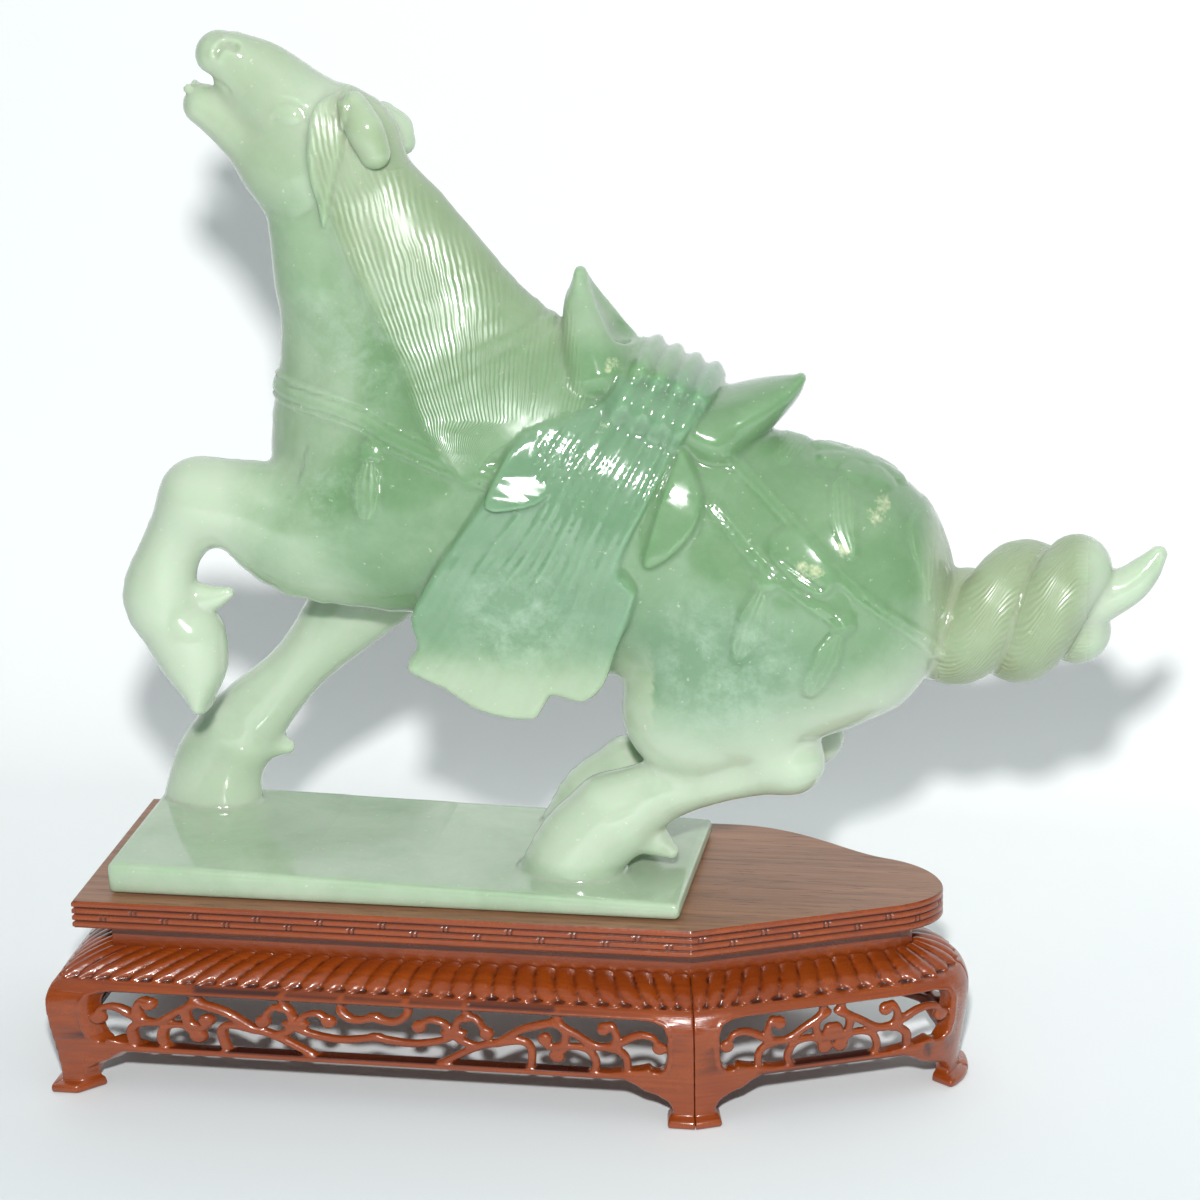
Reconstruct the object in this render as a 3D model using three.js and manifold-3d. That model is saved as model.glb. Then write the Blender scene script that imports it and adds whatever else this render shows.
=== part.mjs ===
// A jade horse on its carved wooden stand.
// Millimetres, Z up. The horse looks along -X, and its near side faces -Y.
// The pose and the stand's plan are drawn in one sheet frame, whose X and Y are the
// sheet's own, and the finished group is moved so that its footprint is centred on the origin.

import * as THREE from 'three';
import { mergeVertices } from 'three/addons/utils/BufferGeometryUtils.js';
import Module from 'manifold-3d';

const wasm = await Module();
wasm.setup();

// Sizes of the stand's plan
const BOARD_LENGTH = 282.5;
const BOARD_DEPTH = 92.5;
const FRONT_LENGTH = 206;
const BACK_LENGTH = 207;
const TIP_FROM_FRONT = 45;
const BOARD_LEFT = -150;
const BOARD_FRONT = -44;
const FRONT_BEND_FROM_TIP = [14.5, 17];
const BACK_BEND_FROM_TIP = [20.5, 23.5];

// Heights of the stand, from the floor up
const STAND_HEIGHT = 65.6;
const BOARD_THICKNESS = 9.4;
const SHOULDER_TOP = 46.3;
const OPENING_TOP = 37;
const OPENING_BOTTOM = 17.6;
const LOWER_RAIL = 2.3;
const FOOT_HEIGHT = 3.4;

// Sizes across the stand's sides
const WAIST_INSET = 10;
const WAIST_THICKNESS = 6;
const APRON_THICKNESS = 5.5;
const BELLY_BULGE = 8.6;
const ANKLE_BULGE = 5.6;
const TOE_BULGE = 8.8;
const RAIL_TUCK = 1.1;
const LEG_WIDTH = 12.5;
const ANKLE_WIDTH = 6.5;
const TOE_WIDTH = 8.5;
const BRACKET_LENGTH = 24;
const LOBE_PITCH = 7.2;
const LOBE_RISE = 1.2;
const VINE_WIDTH = 2.3;
const VINE_DEPTH = 3;
const VINE_GRAIN = 8;
const RIDGE_DEPTH = 0.7;
const RIDGES = 4;
const FIT_GAP = 0.3;

// Sizes of the jade
const SLAB_LENGTH = 190.5;
const SLAB_DEPTH = 75.7;
const SLAB_LEFT_THICKNESS = 10.5;
const SLAB_RIGHT_THICKNESS = 5.5;
const SLAB_EDGE_RADIUS = 2.2;
const SLAB_LEFT = -139.4;
const SLAB_MIDDLE_Y = 1;
const HORSE_LENGTH = 333;
const CLOTH_THICKNESS = 3.6;
const FIELD_CELL = 2.7;
const HORSE_TRIANGLES = 4200;
const APRON_SHARE = 0.66;

// The pose is drawn for a horse of this length, and scales with HORSE_LENGTH
const DRAWN_LENGTH = 333;
const DRAWN_SLAB_TOP = [-44, 1, 73.6];
const scale = HORSE_LENGTH / DRAWN_LENGTH;

const jade = new THREE.MeshStandardMaterial({ color: '#9fc79a', roughness: 0.12, metalness: 0 });
const boardWood = new THREE.MeshStandardMaterial({ color: '#7f5a48', roughness: 0.5, metalness: 0 });
const lacquer = new THREE.MeshStandardMaterial({ color: '#93441a', roughness: 0.22, metalness: 0 });

// Solids: from triangles to a closed solid, joined, and back to a geometry
function toSolid(geometry) {
  const bare = geometry.clone();
  bare.deleteAttribute('normal');
  bare.deleteAttribute('uv');
  const merged = mergeVertices(bare, 1e-4);
  return new wasm.Manifold(new wasm.Mesh({
    numProp: 3,
    vertProperties: new Float32Array(merged.attributes.position.array),
    triVerts: new Uint32Array(merged.index.array),
  }));
}

function joinSolids(geometries) {
  let whole = toSolid(geometries[0]);
  for (const geometry of geometries.slice(1)) whole = whole.add(toSolid(geometry));
  return whole;
}

function toGeometry(solid) {
  const mesh = solid.getMesh();
  const geometry = new THREE.BufferGeometry();
  const points = [];
  for (let i = 0; i < mesh.vertProperties.length; i += mesh.numProp) {
    points.push(...mesh.vertProperties.slice(i, i + 3));
  }
  geometry.setAttribute('position', new THREE.Float32BufferAttribute(points, 3));
  geometry.setIndex([...mesh.triVerts]);
  return geometry;
}

// The unrolled frame is left-handed on the plan, so its faces are turned over there
function turnOver(geometry) {
  const faces = geometry.index.array;
  for (let i = 0; i < faces.length; i += 3) [faces[i], faces[i + 1]] = [faces[i + 1], faces[i]];
  return geometry;
}

function pointsAndFaces(geometry) {
  const { array } = geometry.attributes.position;
  const triples = (list) => Array.from({ length: list.length / 3 },
    (_, i) => [list[3 * i], list[3 * i + 1], list[3 * i + 2]]);
  return { points: triples(array), faces: triples(geometry.index.array) };
}

// A closed body lofted through rings of equally many points
function loft(rings) {
  const count = rings[0].length;
  const points = rings.flat();
  const faces = [];
  for (let r = 0; r + 1 < rings.length; r += 1) {
    for (let i = 0; i < count; i += 1) {
      const a = r * count + i;
      const b = r * count + (i + 1) % count;
      faces.push(a, b, b + count, a, b + count, a + count);
    }
  }
  const capped = (ring) => {
    const [p, q, s] = [new THREE.Vector3(...ring[0]), new THREE.Vector3(), new THREE.Vector3()];
    const normal = new THREE.Vector3();
    for (let i = 1; i + 1 < ring.length; i += 1) {
      q.set(...ring[i]).sub(p);
      s.set(...ring[i + 1]).sub(p);
      normal.add(q.clone().cross(s));
    }
    normal.normalize();
    const side = Math.abs(normal.z) > 0.9 ? new THREE.Vector3(1, 0, 0) : new THREE.Vector3(0, 0, 1);
    const u = side.clone().cross(normal).normalize();
    const v = normal.clone().cross(u);
    const flat = ring.map((point) => {
      const arm = new THREE.Vector3(...point).sub(p);
      return new THREE.Vector2(arm.dot(u), arm.dot(v));
    });
    return THREE.ShapeUtils.triangulateShape(flat, []);
  };
  for (const [a, b, c] of capped(rings[0])) faces.push(a, c, b);
  const last = (rings.length - 1) * count;
  for (const [a, b, c] of capped(rings[rings.length - 1])) faces.push(last + a, last + b, last + c);
  const geometry = new THREE.BufferGeometry();
  geometry.setAttribute('position', new THREE.Float32BufferAttribute(points.flat(), 3));
  geometry.setIndex(faces);
  return geometry;
}

// Plan of the stand: five sides, each with a foot at both of its ends
const left = BOARD_LEFT;
const front = BOARD_FRONT;
const back = front + BOARD_DEPTH;
const tip = [left + BOARD_LENGTH, front + TIP_FROM_FRONT];
const frontCorner = [left + FRONT_LENGTH, front];
const backCorner = [left + BACK_LENGTH, back];
const frontBend = [tip[0] - FRONT_BEND_FROM_TIP[0], tip[1] - FRONT_BEND_FROM_TIP[1]];
const backBend = [tip[0] - BACK_BEND_FROM_TIP[0], tip[1] + BACK_BEND_FROM_TIP[1]];
const plan = (x, y) => new THREE.Vector2(x, y);

function frontRightCurve() {
  const path = new THREE.CurvePath();
  path.add(new THREE.LineCurve(plan(...frontCorner), plan(...frontBend)));
  path.add(new THREE.CubicBezierCurve(plan(...frontBend), plan(tip[0] - 6.5, tip[1] - 13.5),
    plan(tip[0], tip[1] - 7), plan(...tip)));
  return path;
}

function backRightCurve() {
  const path = new THREE.CurvePath();
  path.add(new THREE.CubicBezierCurve(plan(...tip), plan(tip[0], tip[1] + 10),
    plan(tip[0] - 8.5, tip[1] + 20), plan(...backBend)));
  path.add(new THREE.CubicBezierCurve(plan(...backBend), plan(backBend[0] - 15, backBend[1] + 4.5),
    plan(backCorner[0] + 25, backCorner[1]), plan(...backCorner)));
  return path;
}

const straight = (from, to) => new THREE.LineCurve(plan(...from), plan(...to));
const sides = [
  { name: 'front', curve: straight([left, front], frontCorner), bends: 1, legs: [1, 0.7] },
  { name: 'front_right', curve: frontRightCurve(), bends: 12, legs: [0.7, 0.7] },
  { name: 'back_right', curve: backRightCurve(), bends: 14, legs: [0.7, 0.7] },
  { name: 'back', curve: straight(backCorner, [left, back]), bends: 1, legs: [0.7, 1], plain: true },
  { name: 'left', curve: straight([left, back], [left, front]), bends: 1, legs: [1, 1] },
];

// Mitre of each side's two ends: how far the offset slides along the side
for (const side of sides) side.length = side.curve.getLength();
sides.forEach((side, i) => {
  const next = sides[(i + 1) % sides.length];
  const out = side.curve.getTangentAt(1);
  const on = next.curve.getTangentAt(0);
  const turn = Math.atan2(out.x * on.y - out.y * on.x, out.x * on.x + out.y * on.y);
  side.endSlide = Math.tan(turn / 2);
  next.startSlide = -side.endSlide;
});

// Place of a point a share s along a side, moved outwards by d
function onSide(side, s, d) {
  const share = Math.min(1, Math.max(0, s));
  const at = side.curve.getPointAt(share);
  const along = side.curve.getTangentAt(share);
  const slide = side.startSlide * (1 - share) + side.endSlide * share;
  const over = (s - share) * side.length;
  return [at.x + along.x * (over + d * slide) + along.y * d,
    at.y + along.y * (over + d * slide) - along.x * d];
}

function ringAt(offset, height) {
  const ring = [];
  for (const side of sides) {
    for (let i = 0; i < side.bends; i += 1) {
      ring.push([...onSide(side, i / side.bends, offset), height]);
    }
  }
  return ring;
}

// Board: its edge carries four fine ridges
function makeBoard() {
  const rings = [ringAt(-RIDGE_DEPTH, STAND_HEIGHT - BOARD_THICKNESS)];
  const step = BOARD_THICKNESS / (RIDGES * 2);
  for (let i = 1; i < RIDGES * 2; i += 1) {
    const offset = i % 2 === 1 ? 0 : -RIDGE_DEPTH;
    rings.push(ringAt(offset, STAND_HEIGHT - BOARD_THICKNESS + i * step));
  }
  rings.push(ringAt(0, STAND_HEIGHT));
  return loft(rings);
}

// Waist: a narrow upright band set in under the board, open inside
function makeWaist() {
  const outline = (offset) => ringAt(offset, 0).map(([x, y]) => plan(x, y));
  const shape = new THREE.Shape(outline(-WAIST_INSET));
  shape.holes.push(new THREE.Path(outline(-WAIST_INSET - WAIST_THICKNESS)));
  const bottom = OPENING_TOP + 5;
  const depth = STAND_HEIGHT - BOARD_THICKNESS - FIT_GAP - bottom;
  const geometry = new THREE.ExtrudeGeometry(shape, { depth, bevelEnabled: false });
  geometry.translate(0, 0, bottom);
  return geometry;
}

// Outer face of the aprons below the rail: how far out it stands at height z
function bulge(z) {
  const middle = (OPENING_TOP + OPENING_BOTTOM) / 2 + 5;
  const drop = THREE.MathUtils.clamp((middle - z) / (middle - FOOT_HEIGHT), 0, 1);
  const rise = THREE.MathUtils.clamp((z - middle) / (OPENING_TOP - middle), 0, 1);
  return THREE.MathUtils.lerp(BELLY_BULGE, ANKLE_BULGE, THREE.MathUtils.smoothstep(drop, 0, 1))
    - RAIL_TUCK * rise * rise;
}

// The unrolled frame of an apron: u along the side, d outwards, z up
// Shoulder and rail: lobes that lean outwards from the middle of the side
function makeShoulder(side) {
  const lobes = Math.round((side.length + 2 * BELLY_BULGE) / LOBE_PITCH);
  const rings = [];
  for (let i = 0; i <= lobes * 2; i += 1) {
    const swell = (i % 2) * LOBE_RISE;
    const share = i / (lobes * 2);
    const room = Math.min(i, lobes * 2 - i) / 4;
    const lean = LOBE_PITCH * 0.8 * (share * 2 - 1) * Math.min(1, room);
    rings.push([
      [0, bulge(OPENING_TOP) - APRON_THICKNESS, OPENING_TOP],
      [0, bulge(OPENING_TOP), OPENING_TOP],
      [lean, 2.6 + swell * 0.7, OPENING_TOP + 3.6 + swell * 0.5],
      [lean * 0.5, -2.5 + swell * 0.5, SHOULDER_TOP - 2.2 + swell * 0.8],
      [0, FIT_GAP - WAIST_INSET, SHOULDER_TOP],
    ].map(([du, d, z]) => [share * side.length + du, d, z]));
  }
  return loft(rings);
}

// A half leg: a post beside the opening, a bracket under it and a toe turned out
function makeHalfLeg(side, end) {
  const leg = LEG_WIDTH * side.legs[end];
  const rows = [
    [0, TOE_WIDTH],
    [FOOT_HEIGHT - 0.6, TOE_WIDTH],
    [FOOT_HEIGHT, ANKLE_WIDTH],
    [FOOT_HEIGHT + 3, ANKLE_WIDTH + 1.5],
    [OPENING_BOTTOM - 6.5, LEG_WIDTH + 3.5],
    [OPENING_BOTTOM - LOWER_RAIL, BRACKET_LENGTH - 2],
    [OPENING_BOTTOM + 0.2, BRACKET_LENGTH],
    [OPENING_BOTTOM + 1.2, LEG_WIDTH + 5],
    [OPENING_BOTTOM + 3.4, leg],
    [OPENING_TOP - 5, leg - 0.5],
    [OPENING_TOP + 1, leg + 1.5],
  ];
  const rings = rows.map(([z, width]) => {
    const out = z < FOOT_HEIGHT ? TOE_BULGE : bulge(z);
    const inner = bulge(Math.max(z, FOOT_HEIGHT)) - APRON_THICKNESS;
    const near = end ? side.length - width : 0;
    const far = end ? side.length : width;
    const middle = (near + far) / 2;
    return [[near, inner, z], [middle, inner, z], [far, inner, z],
      [far, out, z], [middle, out, z], [near, out, z]];
  });
  return loft(rings);
}

function makeLowerRail(side) {
  const from = BRACKET_LENGTH - 4;
  const rings = [];
  for (let i = 0; i <= side.bends; i += 1) {
    const u = THREE.MathUtils.lerp(from, side.length - from, i / side.bends);
    const low = OPENING_BOTTOM - LOWER_RAIL;
    const out = bulge(OPENING_BOTTOM) - 0.2;
    rings.push([[u, out - VINE_DEPTH, low], [u, out, low],
      [u, out, OPENING_BOTTOM], [u, out - VINE_DEPTH, OPENING_BOTTOM]]);
  }
  return loft(rings);
}

// A carved stroke of the scrollwork through points (u, z), swelling to a knob at its far end
function makeStroke(points, knob, grain) {
  const curve = new THREE.CatmullRomCurve3(points.map(([u, z]) => new THREE.Vector3(u, 0, z)));
  const length = curve.getLength();
  const steps = Math.max(2, Math.round(length / grain));
  const rings = [];
  const ringOf = (share, half, push = 0) => {
    const at = curve.getPointAt(share);
    const along = curve.getTangentAt(share);
    const outer = bulge(at.z) - 0.5;
    const corner = (sign, d) => [at.x - sign * half * along.z + push * along.x, d,
      at.z + sign * half * along.x + push * along.z];
    return [corner(-1, outer - VINE_DEPTH), corner(-1, outer),
      corner(1, outer), corner(1, outer - VINE_DEPTH)];
  };
  const half = VINE_WIDTH / 2;
  const reach = knob ? Math.min(0.5, knob / length) : 0;
  for (let i = 0; i <= steps; i += 1) rings.push(ringOf(i / steps * (1 - reach), half));
  if (knob) {
    rings.push(ringOf(1, knob, -knob * 0.3));
    rings.push(ringOf(1, knob * 0.7, knob * 0.7));
  }
  return loft(rings);
}

// Half of the vine scroll: strokes through (mm from the opening's end, share of its height),
// each with its knob in stroke widths. A stroke is used where it fits before the middle.
const scrolls = [
  { through: [[13, -0.06], [13.2, 0.3], [17.5, 0.46], [22.7, 0.48], [29.2, 0.69], [36, 0.88]] },
  { through: [[17.5, 0.46], [13.6, 0.6], [9, 0.72], [4.6, 0.69], [2.6, 0.5]], knob: 0.75 },
  { through: [[17.8, 0.45], [15.9, 0.65], [17.5, 0.87], [20, 0.8]], knob: 0.7, extra: true },
  { through: [[34, 0.86], [32, 0.7], [33, 0.48], [37.6, 0.42], [38.6, 0.56]], knob: 0.75, extra: true },
  { through: [[24, -0.05], [22.6, 0.15], [25, 0.4], [31, 0.44], [35, 0.25]], knob: 0.85, extra: true },
  { through: [[34.5, 1.05], [34.5, 0.85]] },
  { through: [[34.5, 0.88], [45.5, 0.72], [53.9, 0.43]] },
  { through: [[43.8, -0.05], [43, 0.34], [46, 0.5], [53.9, 0.43], [60.4, 0.34], [72.4, -0.02]] },
  { through: [[60.4, 0.34], [66.5, 0.5], [65.8, 0.82], [60.5, 0.86], [57, 0.6]], knob: 0.75 },
  { through: [[64.5, 0.58], [70.5, 0.58]] },
  { through: [[63.5, 1.05], [63.5, 0.85]], extra: true },
  { through: [[94, 0.42], [81, 0.33], [69, 0.48], [70, 0.72], [75, 0.8], [78.5, 0.66]], knob: 0.75 },
  { through: [[82.5, 1.05], [82.5, 0.86], [87, 0.72], [94, 0.8]] },
];

function makeVine(side) {
  const ends = side.legs.map((share) => LEG_WIDTH * share - 0.5);
  const half = (side.length - ends[0] - ends[1]) / 2;
  const height = OPENING_TOP - OPENING_BOTTOM;
  const fits = (stroke) => Math.max(...stroke.through.map(([u]) => u)) < half + 4;
  const runs = scrolls.filter((stroke) => fits(stroke) && !(side.plain && stroke.extra));
  const farthest = Math.max(...runs.flatMap((stroke) => stroke.through.map(([u]) => u)));
  const stretch = half / (farthest - 1);
  const strokes = [];
  for (const stroke of runs) {
    for (const mirrored of [false, true]) {
      const points = stroke.through.map(([u, share]) => [
        mirrored ? side.length - ends[1] - u * stretch : ends[0] + u * stretch,
        OPENING_BOTTOM + share * height,
      ]);
      strokes.push(makeStroke(points, (stroke.knob || 0) * VINE_WIDTH, VINE_GRAIN));
    }
  }
  return strokes;
}

// An apron: joined in the unrolled frame, then laid along its side of the plan
function makeApron(side) {
  const parts = [makeShoulder(side), makeHalfLeg(side, 0), makeHalfLeg(side, 1),
    makeLowerRail(side), ...makeVine(side)];
  const joined = toGeometry(joinSolids(parts));
  const geometry = thin(pointsAndFaces(joined), joined.index.count / 3 * APRON_SHARE);
  const place = geometry.attributes.position;
  for (let i = 0; i < place.count; i += 1) {
    const gapShare = FIT_GAP / 2 / side.length;
    const share = THREE.MathUtils.lerp(gapShare, 1 - gapShare, place.getX(i) / side.length);
    const [x, y] = onSide(side, share, place.getY(i));
    place.setXYZ(i, x, y, place.getZ(i));
  }
  return turnOver(geometry);
}

// The pose: chains of flattened balls, each node x, y, z, half thickness in the side view
// and half width across, in millimetres of the sheet for a horse of DRAWN_LENGTH
const NEAR = -12;
const FAR = 27;
const BODY = 3;
const LIFTED = -17;
const pose = [
  { blend: 8, nodes: [[-48, BODY, 206, 37, 27], [-11, BODY, 199, 50, 31], [29, BODY, 185, 49, 32],
    [62, BODY, 176, 45, 31], [90, BODY, 168, 45.5, 34]] },
  { blend: 10, nodes: [[-62.5, 2, 302, 19, 12], [-54.5, 2, 282, 28.5, 14], [-45.5, 2, 258, 37.5, 17],
    [-35.5, 2, 231, 50, 22], [-20, 2, 204, 52, 28]] },
  { blend: 5, nodes: [[-73, 1, 297, 12, 10], [-69.5, 1, 284, 13, 12], [-66.5, 1, 266, 14, 14]] },
  { blend: 5, nodes: [[-57, 1, 308, 17, 12], [-72, 1, 318, 15.5, 12.5], [-84, 1, 329, 13, 9.5],
    [-92, 1, 335, 9.5, 8.5], [-96, 1, 337, 7.5, 8]] },
  { blend: 5, nodes: [[-72, 1, 301, 15, 14], [-76, 1, 303, 15, 13.5]] },
  { blend: 4, nodes: [[-76, 1, 302, 14, 11], [-84, 1, 307, 10, 10], [-95, 1, 316, 7.5, 8],
    [-102, 1, 321, 6.5, 7.5]] },
  { blend: 8, nodes: [[-51, NEAR, 189, 30, 16], [-73, -15, 186, 22, 14],
    [-91, LIFTED, 194, 16, 12.5], [-105, LIFTED, 196, 13.5, 11.5]] },
  { blend: 4, nodes: [[-105, LIFTED, 196, 13.5, 11.5], [-116, LIFTED, 180, 10, 9.5],
    [-121, LIFTED, 163, 12.5, 10.5], [-115, LIFTED, 151, 11, 10]] },
  { blend: 2, nodes: [[-112.8, LIFTED, 149, 13.2, 11], [-110, LIFTED, 138, 10.3, 10.5],
    [-108.8, LIFTED, 127, 3.2, 9]] },
  { blend: 2, nodes: [[-114, LIFTED, 162, 7, 5], [-104, LIFTED, 163, 4.5, 3.6],
    [-98, LIFTED, 165, 2, 2]] },
  { blend: 8, nodes: [[-45, 18, 179, 24, 14], [-61, 22, 156, 17, 12], [-86, FAR, 127, 10, 9.5],
    [-104, FAR, 108, 12.5, 10.5], [-109, FAR, 101, 13.5, 11.5]] },
  { blend: 3, nodes: [[-112, FAR, 99, 14, 12], [-118, FAR, 88, 15.5, 11.5],
    [-121, FAR, 75, 17, 11.5]] },
  { blend: 2, nodes: [[-104, FAR, 99, 8, 5], [-97.5, FAR, 96.5, 5, 4.5], [-93.5, FAR, 95.5, 2.6, 2.6]] },
  { blend: 8, nodes: [[88, -8, 163, 43, 23], [71, NEAR, 146, 34, 18], [54, NEAR, 129, 24, 15]] },
  { blend: 5, nodes: [[69, NEAR, 135, 24, 15], [79, NEAR, 118, 14, 11], [84, NEAR, 113, 10.5, 9]] },
  { blend: 4, nodes: [[84, NEAR, 113, 10.5, 9], [63, NEAR, 106.5, 8, 8], [43, NEAR, 101, 10.5, 9],
    [27, NEAR, 92, 14, 11]] },
  { blend: 3, nodes: [[26, NEAR, 90.5, 14.5, 12], [16, NEAR, 80, 15.5, 13],
    [11.5, NEAR, 66, 18.5, 14.5]] },
  { blend: 2, nodes: [[33, NEAR, 88, 9, 6], [40, NEAR, 83, 5.5, 5], [45, NEAR, 79.5, 2.6, 2.6]] },
  { blend: 8, nodes: [[88, 16, 165, 35, 22], [71, 22, 143, 30, 18], [55, 25, 125, 22, 14]] },
  { blend: 5, nodes: [[70, 24, 133, 22, 14], [80, 26, 116, 14, 11], [86, FAR, 108, 10.5, 9]] },
  { blend: 4, nodes: [[86, FAR, 108, 10.5, 9], [65, FAR, 104, 7.5, 8], [42, FAR, 100, 9, 9],
    [27, FAR, 93, 11.5, 10.5]] },
  { blend: 3, nodes: [[25, FAR, 91, 12, 10.5], [15, FAR, 82, 13.5, 11], [12, FAR, 72, 17, 11.5]] },
  { blend: 2, nodes: [[24, BODY, 240, 13, 21], [21, BODY, 250, 9.5, 17], [18, BODY, 261, 5, 9],
    [16.9, BODY, 268.5, 2, 3.5]] },
  { blend: 2, nodes: [[60, BODY, 219, 12, 22], [74, BODY, 227, 8, 17], [83, BODY, 232.5, 4.2, 9],
    [86.5, BODY, 235.5, 1.8, 4]] },
  { blend: 3, nodes: [[34, BODY, 231, 10.5, 22], [48, BODY, 225, 10.5, 23], [62, BODY, 219, 10.5, 23]] },
  { blend: 1, nodes: [[-50, -11, 324, 2.6, 2.6], [-47, -13.5, 317, 4.6, 3.2], [-44, -13, 309, 3.6, 3]] },
  { blend: 1, nodes: [[-47, 12, 316, 3, 2.6], [-43.5, 14, 311.5, 4.2, 3.2], [-41.5, 13.5, 307.5, 3, 2.6]] },
  { blend: 2, nodes: [[176, 2, 165, 10, 9], [184, 2, 168, 7.6, 7], [190.5, 2, 171.5, 6.2, 6],
    [195.5, 2, 176.6, 4.8, 4.6], [199, 2, 181.5, 2.9, 2.8]] },
];

// Seat: rolls of cloth across the back between pommel and cantle
const SEAT = { rolls: 4, from: [37.5, 241], step: [6.2, -2.8], half: 3.4, across: 17 };
for (let i = 0; i < SEAT.rolls; i += 1) {
  const [x, z] = SEAT.from.map((value, c) => value + SEAT.step[c] * i);
  pose.push({ blend: 1, nodes: [[x, BODY, z, SEAT.half, SEAT.across],
    [x + 1, BODY, z - 0.5, SEAT.half, SEAT.across]] });
}

// Tail: two strands twisted round one line
const TAIL = { from: 128, step: 4.6, count: 11, pitch: 42, peak: 155, radius: 9.5, thick: 12.4 };
const TAIL_LEVEL = { x: 172, z: 166, slope: 0.3 };
const strands = [0, Math.PI].map((phase) => {
  const nodes = [];
  for (let i = 0; i < TAIL.count; i += 1) {
    const x = TAIL.from + i * TAIL.step;
    const angle = 2 * Math.PI * (x - TAIL.peak) / TAIL.pitch + phase;
    const spread = TAIL.radius * Math.min(1, 0.35 + i * 0.12);
    const height = TAIL_LEVEL.z - TAIL_LEVEL.slope * Math.max(0, TAIL_LEVEL.x - x);
    const thick = TAIL.thick - 0.14 * i;
    nodes.push([x, 2 + spread * Math.sin(angle), height + spread * 1.2 * Math.cos(angle),
      thick, thick - 0.5]);
  }
  return nodes;
});

// A smooth line through the nodes, cut into short links with their reach
function links(nodes, steps) {
  const ends = nodes.map((node, k) => [nodes[Math.max(0, k - 1)], node,
    nodes[Math.min(nodes.length - 1, k + 1)]]);
  const line = [];
  for (let k = 0; k + 1 < nodes.length; k += 1) {
    for (let s = 0; s < steps; s += 1) {
      const t = s / steps;
      line.push(nodes[k].map((value, c) => {
        const slopeA = (ends[k][2][c] - ends[k][0][c]) / 2;
        const slopeB = (ends[k + 1][2][c] - ends[k + 1][0][c]) / 2;
        const t2 = t * t;
        const t3 = t2 * t;
        return (2 * t3 - 3 * t2 + 1) * value + (t3 - 2 * t2 + t) * slopeA
          + (3 * t2 - 2 * t3) * nodes[k + 1][c] + (t3 - t2) * slopeB;
      }));
    }
  }
  line.push(nodes[nodes.length - 1]);
  const box = new THREE.Box3();
  for (const [x, y, z, h, w] of line) {
    box.expandByPoint(new THREE.Vector3(x - h, y - w, z - h));
    box.expandByPoint(new THREE.Vector3(x + h, y + w, z + h));
  }
  return { line, box };
}

const limbs = pose.map(({ blend, nodes }) => ({ blend, ...links(nodes, nodes.length > 2 ? 4 : 2) }));
const tail = strands.map((nodes) => links(nodes, 2));

// Nearest link in the side view, then the distance to its flattened ball
function limbDistance(line, x, y, z) {
  let nearest = Infinity;
  let at = 0;
  let share = 0;
  for (let k = 0; k + 1 < line.length; k += 1) {
    const a = line[k];
    const dx = line[k + 1][0] - a[0];
    const dz = line[k + 1][2] - a[2];
    const t = Math.min(1, Math.max(0, ((x - a[0]) * dx + (z - a[2]) * dz) / (dx * dx + dz * dz)));
    const square = (x - a[0] - t * dx) ** 2 + (z - a[2] - t * dz) ** 2;
    if (square < nearest) {
      nearest = square;
      at = k;
      share = t;
    }
  }
  const value = (c) => line[at][c] + share * (line[at + 1][c] - line[at][c]);
  const half = value(3);
  const across = (y - value(1)) / value(4);
  const near = nearest / (half * half) + across * across;
  const slope = nearest / half ** 4 + (across / value(4)) ** 2;
  return near < 1e-9 ? -half : Math.sqrt(near) * (Math.sqrt(near) - 1) / Math.sqrt(slope);
}

function strandDistance(line, x, y, z) {
  let nearest = Infinity;
  for (let k = 0; k + 1 < line.length; k += 1) {
    const a = line[k];
    const d = [0, 1, 2].map((c) => line[k + 1][c] - a[c]);
    const p = [x - a[0], y - a[1], z - a[2]];
    const length = d[0] * d[0] + d[1] * d[1] + d[2] * d[2];
    const t = Math.min(1, Math.max(0, (p[0] * d[0] + p[1] * d[1] + p[2] * d[2]) / length));
    const gap = Math.hypot(p[0] - t * d[0], p[1] - t * d[1], p[2] - t * d[2]);
    nearest = Math.min(nearest, gap - a[3] - t * (line[k + 1][3] - a[3]));
  }
  return nearest;
}

function blendMin(a, b, reach) {
  const share = THREE.MathUtils.clamp(0.5 + 0.5 * (b - a) / reach, 0, 1);
  return b + (a - b) * share - reach * share * (1 - share);
}

// Signed distance in the side view to a smooth closed outline, negative inside
function outlineOf(points) {
  const curve = new THREE.CatmullRomCurve3(
    points.map(([x, z]) => new THREE.Vector3(x, 0, z)), true, 'centripetal');
  return curve.getPoints(points.length * 3).map((point) => [point.x, point.z]);
}

function outlineDistance(line, x, z) {
  let nearest = Infinity;
  let inside = false;
  for (let i = 0; i + 1 < line.length; i += 1) {
    const [ax, az] = line[i];
    const [bx, bz] = line[i + 1];
    const dx = bx - ax;
    const dz = bz - az;
    const t = THREE.MathUtils.clamp(((x - ax) * dx + (z - az) * dz) / (dx * dx + dz * dz + 1e-9), 0, 1);
    nearest = Math.min(nearest, Math.hypot(x - ax - t * dx, z - az - t * dz));
    if ((az > z) !== (bz > z) && x < ax + dx * (z - az) / dz) inside = !inside;
  }
  return inside ? -nearest : nearest;
}

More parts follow.
